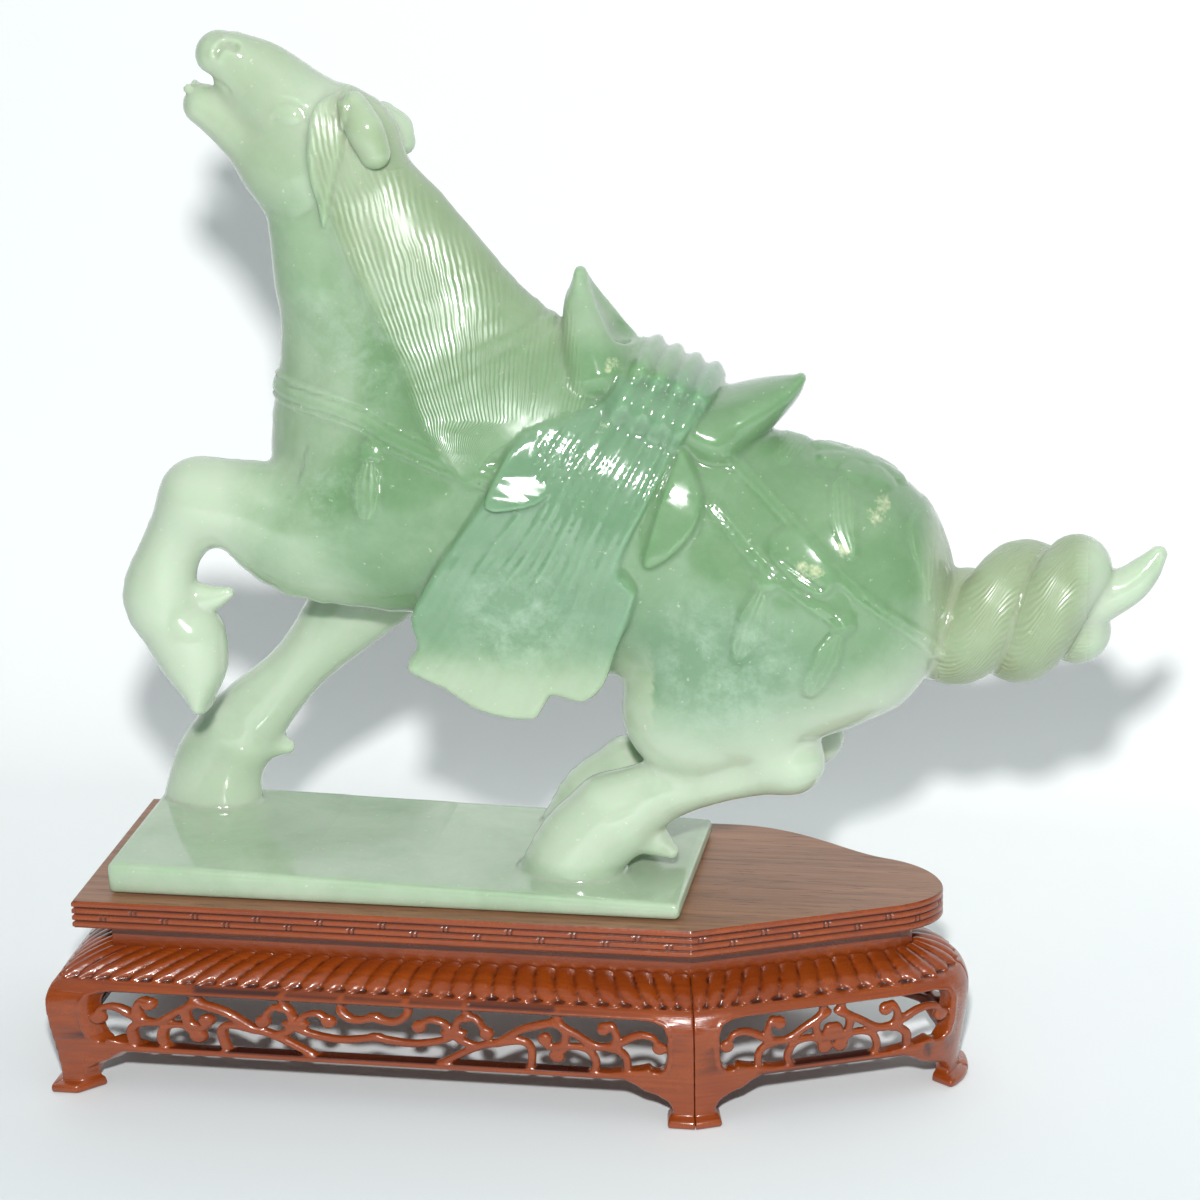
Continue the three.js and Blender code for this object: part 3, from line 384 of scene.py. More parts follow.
def set_shader(material, shader, values):
    for name, value in values.items():
        if isinstance(value, bpy.types.NodeSocket):
            material.node_tree.links.new(value, shader.inputs[name])
        else:
            shader.inputs[name].default_value = value


def ramp(material, factor, stops):
    node = add_node(material, "ShaderNodeValToRGB", None, {"Fac": factor})
    elements = node.color_ramp.elements
    while len(elements) < len(stops):
        elements.new(0.5)
    for element, (place, colour) in zip(elements, stops):
        element.position = place
        element.color = (*colour, 1)
    return node.outputs["Color"]


def noise(material, place, scale, detail, roughness, distortion=0.0):
    return add_node(material, "ShaderNodeTexNoise", None, {
        "Vector": place, "Scale": scale, "Detail": detail, "Roughness": roughness,
        "Distortion": distortion}).outputs["Fac"]


def mix(material, factor, a, b):
    node = add_node(material, "ShaderNodeMix", {"data_type": "RGBA"})
    for name, value in (("Factor", factor), ("A", a), ("B", b)):
        socket = next(s for s in node.inputs
                      if s.name == name and s.type == ("VALUE" if name == "Factor" else "RGBA"))
        if isinstance(value, bpy.types.NodeSocket):
            material.node_tree.links.new(value, socket)
        else:
            socket.default_value = value if name == "Factor" else (*value, 1)
    return next(s for s in node.outputs if s.type == "RGBA")


def maths(material, operation, a, b=0.0, c=0.0, clamp=False):
    return add_node(material, "ShaderNodeMath", {"operation": operation, "use_clamp": clamp},
                    {0: a, 1: b, 2: c}).outputs[0]


def attribute(material, name):
    return add_node(material, "ShaderNodeAttribute", {"attribute_name": name}).outputs["Fac"]


# The horse's pose: chains of flattened balls, each node x, y, z, half thickness in the side
# view and half width across
NEAR = -12
FAR = 27
BODY = 3
LIFTED = -17
POSE = [
    (8, [(-48, BODY, 206, 37, 27), (-11, BODY, 199, 50, 31), (29, BODY, 185, 49, 32),
         (62, BODY, 176, 45, 31), (90, BODY, 168, 45.5, 34)]),
    (10, [(-62.5, 2, 302, 19, 12), (-54.5, 2, 282, 28.5, 14), (-45.5, 2, 258, 37.5, 17),
          (-35.5, 2, 231, 50, 22), (-20, 2, 204, 52, 28)]),
    (5, [(-73, 1, 297, 12, 10), (-69.5, 1, 284, 13, 12), (-66.5, 1, 266, 14, 14)]),
    (5, [(-57, 1, 308, 17, 12), (-72, 1, 318, 15.5, 12.5), (-84, 1, 329, 13, 9.5),
         (-92, 1, 335, 9.5, 8.5), (-96, 1, 337, 7.5, 8)]),
    (5, [(-72, 1, 301, 15, 14), (-76, 1, 303, 15, 13.5)]),
    (4, [(-76, 1, 302, 14, 11), (-84, 1, 307, 10, 10), (-95, 1, 316, 7.5, 8),
         (-102, 1, 321, 6.5, 7.5)]),
    (8, [(-51, NEAR, 189, 30, 16), (-73, -15, 186, 22, 14), (-91, LIFTED, 194, 16, 12.5),
         (-105, LIFTED, 196, 13.5, 11.5)]),
    (4, [(-105, LIFTED, 196, 13.5, 11.5), (-116, LIFTED, 180, 10, 9.5),
         (-121, LIFTED, 163, 12.5, 10.5), (-115, LIFTED, 151, 11, 10)]),
    (2, [(-112.8, LIFTED, 149, 13.2, 11), (-110, LIFTED, 138, 10.3, 10.5),
         (-108.8, LIFTED, 127, 3.2, 9)]),
    (2, [(-114, LIFTED, 162, 7, 5), (-104, LIFTED, 163, 4.5, 3.6), (-98, LIFTED, 165, 2, 2)]),
    (8, [(-45, 18, 179, 24, 14), (-61, 22, 156, 17, 12), (-86, FAR, 127, 10, 9.5),
         (-104, FAR, 108, 12.5, 10.5), (-109, FAR, 101, 13.5, 11.5)]),
    (3, [(-112, FAR, 99, 14, 12), (-118, FAR, 88, 15.5, 11.5), (-121, FAR, 75, 17, 11.5)]),
    (2, [(-104, FAR, 99, 8, 5), (-97.5, FAR, 96.5, 5, 4.5), (-93.5, FAR, 95.5, 2.6, 2.6)]),
    (8, [(88, -8, 163, 43, 23), (71, NEAR, 146, 34, 18), (54, NEAR, 129, 24, 15)]),
    (5, [(69, NEAR, 135, 24, 15), (79, NEAR, 118, 14, 11), (84, NEAR, 113, 10.5, 9)]),
    (4, [(84, NEAR, 113, 10.5, 9), (63, NEAR, 106.5, 8, 8), (43, NEAR, 101, 10.5, 9),
         (27, NEAR, 92, 14, 11)]),
    (3, [(26, NEAR, 90.5, 14.5, 12), (16, NEAR, 80, 15.5, 13), (11.5, NEAR, 66, 18.5, 14.5)]),
    (2, [(33, NEAR, 88, 9, 6), (40, NEAR, 83, 5.5, 5), (45, NEAR, 79.5, 2.6, 2.6)]),
    (8, [(88, 16, 165, 35, 22), (71, 22, 143, 30, 18), (55, 25, 125, 22, 14)]),
    (5, [(70, 24, 133, 22, 14), (80, 26, 116, 14, 11), (86, FAR, 108, 10.5, 9)]),
    (4, [(86, FAR, 108, 10.5, 9), (65, FAR, 104, 7.5, 8), (42, FAR, 100, 9, 9),
         (27, FAR, 93, 11.5, 10.5)]),
    (3, [(25, FAR, 91, 12, 10.5), (15, FAR, 82, 13.5, 11), (12, FAR, 72, 17, 11.5)]),
    (2, [(24, BODY, 240, 13, 21), (21, BODY, 250, 9.5, 17), (18, BODY, 261, 5, 9),
         (16.9, BODY, 268.5, 2, 3.5)]),
    (2, [(60, BODY, 219, 12, 22), (74, BODY, 227, 8, 17), (83, BODY, 232.5, 4.2, 9),
         (86.5, BODY, 235.5, 1.8, 4)]),
    (3, [(34, BODY, 231, 10.5, 22), (48, BODY, 225, 10.5, 23), (62, BODY, 219, 10.5, 23)]),
    (1, [(-50, -11, 324, 2.6, 2.6), (-47, -13.5, 317, 4.6, 3.2), (-44, -13, 309, 3.6, 3)]),
    (1, [(-47, 12, 316, 3, 2.6), (-43.5, 14, 311.5, 4.2, 3.2), (-41.5, 13.5, 307.5, 3, 2.6)]),
    (2, [(176, 2, 165, 10, 9), (184, 2, 168, 7.6, 7), (190.5, 2, 171.5, 6.2, 6),
         (195.5, 2, 176.6, 4.8, 4.6), (199, 2, 181.5, 2.9, 2.8)]),
]
SEAT_ROLLS = 4
SEAT_FROM = (37.5, 241.0)
SEAT_STEP = (6.2, -2.8)
for roll in range(SEAT_ROLLS):
    roll_x, roll_z = (SEAT_FROM[c] + SEAT_STEP[c] * roll for c in range(2))
    POSE.append((1, [(roll_x, BODY, roll_z, 3.4, 17), (roll_x + 1, BODY, roll_z - 0.5, 3.4, 17)]))

# Dished faces of the pommel and the cantle, cut out of them
SADDLE_DISHES = [
    [(30.5, BODY, 252.5, 6.2, 12.5), (26, BODY, 259.5, 4.8, 8), (22.4, BODY, 265, 2.6, 3.5)],
    [(68, BODY, 240, 5.5, 13), (77, BODY, 241.6, 4.6, 9.5), (84, BODY, 241.5, 3, 5)],
]

TAIL_FROM, TAIL_STEP, TAIL_NODES = 128, 4.6, 11
TAIL_PITCH, TAIL_PEAK, TAIL_RADIUS, TAIL_THICK = 42, 155, 9.5, 12.4
TAIL_LEVEL_X, TAIL_LEVEL_Z, TAIL_SLOPE = 172, 166, 0.3


def tail_strand(phase):
    nodes = []
    for i in range(TAIL_NODES):
        x = TAIL_FROM + i * TAIL_STEP
        angle = 2 * math.pi * (x - TAIL_PEAK) / TAIL_PITCH + phase
        spread = TAIL_RADIUS * min(1, 0.35 + i * 0.12)
        height = TAIL_LEVEL_Z - TAIL_SLOPE * max(0, TAIL_LEVEL_X - x)
        thick = TAIL_THICK - 0.14 * i
        nodes.append((x, 2 + spread * math.sin(angle), height + 1.2 * spread * math.cos(angle),
                      thick, thick - 0.5))
    return nodes


def reach_of(line):
    low = (line[:, :3] - line[:, [3, 4, 3]]).min(0)
    high = (line[:, :3] + line[:, [3, 4, 3]]).max(0)
    return low, high


LIMBS = []
for limb_blend, limb_nodes in POSE:
    limb_line = smooth_line(limb_nodes, 4 if len(limb_nodes) > 2 else 2)
    LIMBS.append((limb_blend, limb_line, *reach_of(limb_line)))
TAIL = [smooth_line(tail_strand(phase), 2) for phase in (0, math.pi)]
DISHES = [smooth_line(nodes, 4) for nodes in SADDLE_DISHES]


def limb_distance(line, p):
    """Nearest link in the side view, then the distance to its flattened ball."""
    x, y, z = p.T
    best = np.full(len(p), np.inf)
    middle, half, wide = np.empty(len(p)), np.empty(len(p)), np.empty(len(p))
    for a, b in zip(line[:-1], line[1:]):
        dx, dz = b[0] - a[0], b[2] - a[2]
        t = np.clip(((x - a[0]) * dx + (z - a[2]) * dz) / (dx * dx + dz * dz), 0, 1)
        gap = (x - a[0] - t * dx) ** 2 + (z - a[2] - t * dz) ** 2
        closer = gap < best
        best = np.where(closer, gap, best)
        for values, column in ((middle, 1), (half, 3), (wide, 4)):
            np.copyto(values, a[column] + t * (b[column] - a[column]), where=closer)
    across = (y - middle) / wide
    near = best / half ** 2 + across ** 2
    slope = best / half ** 4 + (across / wide) ** 2
    root = np.sqrt(near)
    return root * (root - 1) / np.sqrt(np.maximum(slope, 1e-9))


def strand_distance(line, p):
    """Distance to a round strand."""
    best = np.full(len(p), np.inf)
    for a, b in zip(line[:-1], line[1:]):
        d = b[:3] - a[:3]
        t = np.clip((p - a[:3]) @ d / (d @ d), 0, 1)
        arm = p - a[:3] - t[:, None] * d
        best = np.minimum(best, np.sqrt((arm ** 2).sum(1)) - (a[3] + t * (b[3] - a[3])))
    return best


def strand_turn(line, p):
    """Angle round a strand from its top, the same towards either side."""
    y, z = (np.interp(p[:, 0], line[:, 0], line[:, c]) for c in (1, 2))
    return np.abs(np.arctan2(p[:, 1] - y, p[:, 2] - z))


# Low relief, drawn in the side view and raised alike on both sides
MANE = [(-52, 330), (-63, 320), (-65, 303), (-60, 287), (-53, 271), (-45, 256), (-37, 241),
        (-29, 222), (-15, 206), (-6, 217), (8, 223), (21, 227), (20, 245), (14, 262), (-10, 290),
        (-38, 318)]
FORELOCK = [(-51, 324), (-55.3, 326), (-58.8, 325.7), (-62.4, 323), (-64.5, 317),
            (-65.3, 308.4), (-64.5, 299.7), (-63, 291.9), (-61.3, 284.5), (-59.1, 291),
            (-56.9, 299.8), (-54.3, 308.5), (-53, 317.2)]
EARS = [(-50.8, 327.2), (-42, 325), (-36, 314), (-36, 304), (-42, 303), (-48.5, 307),
        (-51.4, 315.5), (-51.9, 322.4)]
CLOTH = [(27, 232), (3, 224), (-6, 208), (-19, 189), (-30, 173), (-35, 162), (-33, 153),
         (-37, 145), (-25, 139), (-16, 133), (-6, 130), (5, 130), (10, 138), (20, 136), (27, 142),
         (31, 153), (38, 173), (33, 182), (43, 204), (53, 222), (62, 237), (40, 252)]
CLOTH_RISE = 2.0
FRONT_FLAP = [(25, 231), (12, 226), (1, 220.5), (-3, 215.5), (-8.5, 201), (7.6, 202), (14, 209.7),
              (19.5, 218), (25, 225.5)]
REAR_FLAP = [(52, 218), (58.5, 204.5), (57.5, 196.3), (53.9, 190.4), (47.8, 184.6), (40.8, 182.4),
             (44.3, 197.6), (48.6, 210.7)]
FAN = (124, 386)
FOLDS = 443
RELIEF_LOW = np.array([-142.0, 60.0])
RELIEF_STEP = 0.5
RELIEF_SHAPE = (700, 592)
# Straps: width, height and line
STRAPS = [
    (8, 1.3, [(-88, 232), (-68, 230), (-52, 227), (-40, 221), (-24, 215), (-6, 209)]),
    (3.6, 0.9, [(66, 215), (72.3, 209.5), (89.3, 194.8), (108, 175.8), (125.8, 160), (131.5, 151)]),
    (3.6, 0.9, [(62, 201), (77, 185.5), (90, 175.5), (103, 166.5)]),
]
BOW = [(80, 190), (86.5, 196), (94, 191.5), (101.5, 181.5), (97, 175.5), (88, 180)]
TASSELS = [
    ((-46.5, 216), (-48.5, 194), 8.5),
    ((79, 179), (70, 152), 8),
    ((103.5, 166), (92, 141), 8.5),
]
TUFTS = [
    (8, [(101, 206), (103, 197), (106, 188)]),
    (7, [(125, 194), (128, 183), (129, 171)]),
    (8, [(83, 215), (88, 219), (98, 222)]),
]
ROSETTE = np.array([106.0, BODY, 211.0])
ROSETTE_RADIUS = 16
MANE_HAIRS, TAIL_HAIRS = 44, 50


def plateau(gap, rise, soften=1.4):
    return rise * smoothstep(-gap, -soften / 2, soften / 2)


def draw_mane(x, z):
    """Height of the mane, and the phase and mask of its hair."""
    left = np.interp(z, [203, 222, 241, 256, 271, 287, 303, 335],
                     [-16, -29, -37, -45, -53, -60, -64, -66])
    right = np.interp(z, [203, 211, 217, 223, 227, 245, 300, 335],
                      [-13, -8, -2, 8, 21, 22, 30, 34])
    swing = 1.6 * np.sin(z / 11 + x / 19)
    share = (x + swing - left) / np.maximum(right - left, 4)
    lock = np.abs(np.sin(math.pi * (7 * share + 0.3 * np.sin(share * 17) + 0.15 * np.sin(z / 17))))
    gap = outline_distance(x, z, closed_line(MANE))
    rise = plateau(gap, 1.3, 6) + 0.25 * lock * plateau(gap + 1, 1, 5)
    leaf = outline_distance(x, z, closed_line(FORELOCK))
    rise = np.maximum(rise, plateau(leaf, 2.8, 1.8))
    off_ears = smoothstep(outline_distance(x, z, closed_line(EARS)), -0.5, 1.2)
    mask = np.maximum(plateau(gap + 1, 1, 5), plateau(leaf, 1)) * off_ears
    return rise, share * 2 * math.pi * MANE_HAIRS, mask


def draw_cloth(x, z):
    """Height of the cloth over the horse's side, with its folds, and of the saddle's flaps."""
    gap = outline_distance(x, z, closed_line(CLOTH))
    angle = np.arctan2(z - FAN[1], x - FAN[0])
    wander = 1.6 * np.sin(x / 7.1 + z / 19) + 1.2 * np.sin(x / 13.7 - z / 31)
    fold = np.sin(angle * FOLDS + wander) + 0.5 * np.sin(angle * FOLDS * 0.43 + 2)
    depth = np.interp(z, [136, 160, 190, 218, 236], [0.12, 0.22, 0.38, 0.5, 0.0])
    depth = depth * (0.65 + 0.35 * np.sin(angle * 97 + z / 16) * np.sin(angle * 61 - z / 27))
    rise = plateau(gap, CLOTH_RISE) + depth * fold * plateau(gap, 1.0, 6)
    slope = SEAT_STEP[1] / SEAT_STEP[0]
    seat = (x + 0.55 * (SEAT_FROM[1] - slope * SEAT_FROM[0] - z)) / (1 - 0.55 * slope)
    ridge = np.cos((seat - SEAT_FROM[0]) / SEAT_STEP[0] * 2 * math.pi)
    within = smoothstep(seat, 32, 35) * smoothstep(seat, 61, 58) * smoothstep(z, 214, 224)
    rise += 0.5 * ridge * within
    flap = outline_distance(x, z, closed_line(FRONT_FLAP))
    tilt = 3.0 + 0.28 * np.clip(211 - z, 0, 10) - 0.15 * x
    rise = np.where(flap < 0.7, np.maximum(rise, plateau(flap, tilt)), rise)
    flap = outline_distance(x, z, closed_line(REAR_FLAP))
    return np.where(flap < 1, np.maximum(rise, plateau(flap, CLOTH_RISE + 0.9, 2)), rise)


def draw_straps(x, z):
    rise = np.zeros(x.shape)
    for width, height, points in STRAPS:
        away = line_distance(x, z, smooth_line(points, 4))[0]
        groove = away if width < 5 else np.abs(away - width / 2 + 1.6)
        strap = plateau(away - width / 2, height, 1.0)
        sunk = 0.7 * height * smoothstep(groove, 1.0, 0.1) * (away < width / 2)
        rise = np.maximum(rise, strap - sunk)
    bow = outline_distance(x, z, closed_line(BOW))
    crease = line_distance(x, z, [(82, 188), (97, 178)])[0]
    knot = plateau(bow, 1.3, 2.5) - 0.7 * smoothstep(crease, 1.5, 0.2) * (bow < -1)
    return np.maximum(rise, knot)


def draw_tassel(x, z, knot, end, width):
    """A knotted ball with a skirt of threads under it."""
    knot, end = np.array(knot), np.array(end)
    down = (end - knot) / np.linalg.norm(end - knot)
    length = np.linalg.norm(end - knot)
    along = (x - knot[0]) * down[0] + (z - knot[1]) * down[1]
    across = (x - knot[0]) * down[1] - (z - knot[1]) * down[0]
    ball = 4.2 - np.hypot(x - knot[0], z - knot[1])
    half = width / 2 * np.interp(along / length, [0.1, 0.4, 0.8, 1.0], [0.5, 1.0, 0.95, 0.45])
    skirt = np.minimum(half - np.abs(across), np.minimum(along - 2, length - along))
    rise = np.maximum(1.8 * np.sqrt(np.clip(ball / 4.2, 0, 1)), plateau(-skirt, 1.0, 1.8))
    weave = 0.3 * np.sin(x * 2.6 + z * 1.4) * np.sin(x * 1.4 - z * 2.6) * (ball > 0)
    phase = across / np.maximum(half, 0.5) * math.pi * 3.5
    return rise + weave, phase, 0.7 * smoothstep(skirt, 0, 1.2)


def draw_head(x, z):
    """Eye, nostril, cheek crease and the corner of the mouth."""
    rise = np.zeros(x.shape)
    eye = np.hypot((x + 71.5) / 4.6 + (z - 320.5) * 0.06, (z - 320.5) / 3.1)
    rise += 0.6 * smoothstep(eye, 1.0, 0.35) - 0.5 * smoothstep(np.abs(eye - 1.15), 0.3, 0.0)
    lid = line_distance(x, z, smooth_line([(-77, 320), (-73, 325.5), (-66, 323)], 4))[0]
    rise += 0.5 * smoothstep(lid, 1.9, 0.2)
    nostril = line_distance(x, z, smooth_line([(-94.5, 338), (-92.5, 341), (-88.5, 340)], 4))[0]
    rise += 0.6 * smoothstep(np.abs(nostril - 1.9), 1.1, 0.1) - 1.2 * smoothstep(nostril, 1.2, 0.2)
    jaw = line_distance(x, z, smooth_line([(-62, 307), (-62, 296), (-70, 288), (-80, 289)], 4))[0]
    rise -= 0.45 * smoothstep(jaw, 2.4, 0.0)
    smile = line_distance(x, z, smooth_line([(-99, 330.5), (-94, 329), (-91, 326)], 4))[0]
    return rise - 0.6 * smoothstep(smile, 1.1, 0.1)


def draw_relief():
    """Maps over the side view: height of the carving, and the phase and mask of its hair."""
    x, z = np.meshgrid(RELIEF_LOW[0] + RELIEF_STEP * np.arange(RELIEF_SHAPE[0]),
                       RELIEF_LOW[1] + RELIEF_STEP * np.arange(RELIEF_SHAPE[1]), indexing="ij")
    rise, phase, mask = draw_mane(x, z)
    cloth = draw_cloth(x, z)
    mask = mask * smoothstep(outline_distance(x, z, closed_line(CLOTH)), 0, 1.5)
    rise = np.maximum(rise, cloth)
    rise = np.maximum(rise, draw_straps(x, z) * (mask < 0.5))
    for width, points in TUFTS:
        gap, along, side = line_distance(x, z, smooth_line(points, 4))
        gap = gap - width / 2 * np.interp(along, [0, 8, 20], [0.8, 1.0, 0.35])
        rise = np.maximum(rise, plateau(gap, 0.7, 2))
        phase = np.where(gap < 1, side * 4.2, phase)
        mask = np.where(gap < 1, 0.7 * smoothstep(-gap, -0.5, 1), mask)
    for knot, end, width in TASSELS:
        height, threads, here = draw_tassel(x, z, knot, end, width)
        rise = np.where(height > 0.05, np.maximum(rise * 0.4 + height, rise), rise)
        phase = np.where(here > 0.02, threads, phase)
        mask = np.where(here > 0.02, here, mask)
    return rise + draw_head(x, z), phase, mask


RELIEF, HAIR_PHASE, HAIR_MASK = draw_relief()


def look_up(picture, p):
    """A map's values at the points, between its samples."""
    u = np.clip((p[:, [0, 2]] - RELIEF_LOW) / RELIEF_STEP, 0, np.array(RELIEF_SHAPE) - 1.001)
    i, j = u.astype(int).T
    s, t = (u - u.astype(int)).T
    return ((1 - s) * (1 - t) * picture[i, j] + s * (1 - t) * picture[i + 1, j]
            + (1 - s) * t * picture[i, j + 1] + s * t * picture[i + 1, j + 1])


def rosette(p):
    """Petals of the rosette on the rump, by the distance and angle from its heart."""
    arm = p - ROSETTE
    away = np.sqrt((arm ** 2).sum(1))
    angle = np.arctan2(arm[:, 1], arm[:, 0] * 0.8 - arm[:, 2] * 0.6)
    petal = np.abs(np.cos(angle * 4)) ** 0.5
    edge = ROSETTE_RADIUS * (0.8 + 0.2 * petal)
    ring = np.where(away < 6.5, np.abs(np.sin(away / 6.5 * math.pi)) ** 0.5, petal)
    return plateau(away - edge, 1.0, 3) * (0.6 + 0.6 * ring)


SKIRT_TOP = 200
SKIRT_REACH = 31.5
CLOTH_THICKNESS = 3.6
CLOTH_LINE = closed_line(CLOTH, 2)
MANE_LINE = closed_line(MANE, 2)
MOUTH = (-99.8, 330.6)
MOUTH_LENGTH, MOUTH_RISE, MOUTH_CORNER, MOUTH_FLARE = 13.2, 3.9, 1.2, 3.8


def slab_top(x):
    return SLAB_BASE + np.interp(x, [SLAB_LEFT, SLAB_LEFT + SLAB_LENGTH],
                                 [SLAB_LEFT_THICKNESS, SLAB_RIGHT_THICKNESS]) - POSE_SHIFT[2]


def slab_field(p):
    x, y, z = (p - [SLAB_LEFT + SLAB_LENGTH / 2 - POSE_SHIFT[0], SLAB_MIDDLE_Y, 0]).T
    top = slab_top(p[:, 0])
    base = SLAB_BASE - POSE_SHIFT[2]
    radius = 1.7
    gaps = np.stack([np.abs(x) - SLAB_LENGTH / 2, np.abs(y) - SLAB_DEPTH / 2,
                     np.abs(z - (top + base) / 2) - (top - base) / 2]) + radius
    return np.sqrt((np.maximum(gaps, 0) ** 2).sum(0)) + np.minimum(gaps.max(0), 0) - radius


def horse_field(p, relief=1.0):
    """Distance to the horse and its slab at points of the pose's sheet."""
    field = np.full(len(p), 40.0)
    low, high = p.min(0), p.max(0)
    for blend, line, limb_low, limb_high in LIMBS:
        if (limb_low - 12 > high).any() or (limb_high + 12 < low).any():
            continue
        near = np.flatnonzero(((p > limb_low - 12) & (p < limb_high + 12)).all(1))
        if near.size:
            field[near] = blend_min(field[near], limb_distance(line, p[near]), blend)
    near = np.flatnonzero(p[:, 0] > TAIL_FROM - 14)
    if near.size:
        strands = [strand_distance(line, p[near]) for line in TAIL]
        field[near] = blend_min(field[near], blend_min(strands[0], strands[1], 1.5), 2)
    near = np.flatnonzero(np.abs(field) < 9)
    if near.size and relief:
        raised = look_up(RELIEF, p[near])
        close = np.flatnonzero(np.abs(p[near] - ROSETTE).max(1) < ROSETTE_RADIUS + 3)
        raised[close] = np.maximum(raised[close], rosette(p[near][close]))
        field[near] -= relief * raised
    near = np.flatnonzero((p[:, 2] > 222) & (p[:, 0] > 12) & (p[:, 0] < 92))
    if near.size:
        for line in DISHES:
            field[near] = blend_max(field[near], -limb_distance(line, p[near]), 1.2)
    near = np.flatnonzero((p[:, 2] < SKIRT_TOP + 4) & (p[:, 0] < 45) & (p[:, 0] > -45)
                          & (p[:, 2] > 120))
    if near.size:
        x, y, z = p[near].T
        drape = np.maximum(-1.2, relief * look_up(RELIEF, p[near]) - CLOTH_RISE) / 2
        reach = SKIRT_REACH - 7 * smoothstep(z, SKIRT_TOP - 22, SKIRT_TOP)
        sheet = np.abs(np.abs(y - BODY) - reach - drape) - CLOTH_THICKNESS / 2 - drape
        edge = blend_max(sheet, outline_distance(x, z, CLOTH_LINE), 1.6)
        field[near] = blend_min(field[near], np.maximum(edge, z - SKIRT_TOP), 3)
    near = np.flatnonzero((p[:, 0] < -90) & (p[:, 2] > 310))
    if near.size:
        x, y, z = p[near].T
        along = np.clip((MOUTH[0] - x) / MOUTH_LENGTH, 0, 1)
        wedge = np.hypot(np.minimum(0, MOUTH[0] - x), z - MOUTH[1] - along * MOUTH_RISE)
        wedge = wedge - MOUTH_CORNER - along * MOUTH_FLARE
        field[near] = blend_max(field[near], -wedge, 0.8)
        teeth = np.hypot(x + 106 - 1.5 * np.cos((y - 1) / 3), z - 326.6) - 1.5
        teeth = np.maximum(teeth, np.abs(y - 1) - 4.6) + 0.12 * np.cos((y - 1) * 2.4)
        field[near] = blend_min(field[near], teeth, 1.2)
    field = np.maximum(field, slab_top(p[:, 0]) - 2.5 - p[:, 2])
    return blend_min(field, slab_field(p), 1.2)


HORSE_LOW = np.array([-143.0, -42.0, 62.0])
HORSE_HIGH = np.array([207.0, 47.0, 351.0])


# Milky clouds in the stone: centre and reach in the side view
CLOUDS = [((-50, 250), 30), ((66, 148), 34), ((-60, 205), 20), ((0, 165), 26)]
# Small yellowish flaws, partly painted highlights where the flash glints: place in the side view
# and reach
FLAWS_AND_GLINTS = [((29, 243), 2.6), ((27, 225), 2.2), ((113, 199), 3.4), ((104, 190), 3.0), ((93, 184), 4.5)]


def tone_of(p):
    """Shares of the stone's tones and painted glints at points of the pose's sheet, by the shader's
    names.
    """
    x, y, z = p.T
    body = np.sqrt(((x - 40) / 112) ** 2 + ((z - 195) / 62) ** 2)
    neck = np.hypot((x + 22) / 42, (z - 240) / 52)
    green = np.maximum(smoothstep(body, 1.2, 0.8), smoothstep(neck, 1.25, 0.4))
    green *= smoothstep(z, 112, 148)
    breast = smoothstep(x, -104, -78) * smoothstep(z, 140, 176) * smoothstep(z, 326, 288)
    slab = smoothstep(z, 79, 75)
    green = np.maximum(green, np.maximum(0.6 * breast, 0.32 * slab))
    tail = smoothstep(x, 124, 136)
    mane = smoothstep(outline_distance(x, z, MANE_LINE), 2, -4) * smoothstep(z, 205, 290)
    mane *= 1 - smoothstep(y, 6, 10) * smoothstep(z, 302, 306)
    head = smoothstep(x, -58, -76) * smoothstep(z, 284, 306)
    olive = np.maximum(0.6 * mane, 0.3 * head)
    olive = np.maximum(0.85 * tail * (1 - smoothstep(x, 172, 182)), olive)
    cloth = smoothstep(outline_distance(x, z, CLOTH_LINE), 2, -2) * smoothstep(z, 140, 168)
    thigh = smoothstep(np.hypot((x - 62) / 46, (z - 148) / 32), 1.1, 0.3)
    sea = np.clip(0.8 * cloth + 0.7 * thigh, 0, 1) * (z < 240)
    hem = smoothstep(z, 158, 138) * (np.abs(x) < 42) * (z > 125)
    milk = np.max([smoothstep(np.hypot(x - at[0], z - at[1]), reach, 0.3 * reach)
                   for at, reach in CLOUDS], axis=0)
    flaw_and_glint = np.max([smoothstep(np.hypot(x - at[0], z - at[1]), 1.6 * reach, 0.3 * reach)
                   for at, reach in FLAWS_AND_GLINTS], axis=0) * (y < BODY)
    return {"green": green * (1 - tail) * (1 - 0.7 * hem), "sea": sea * (1 - hem),
            "olive": olive + 0.25 * hem, "milk": milk, "flaw_and_glint": flaw_and_glint}


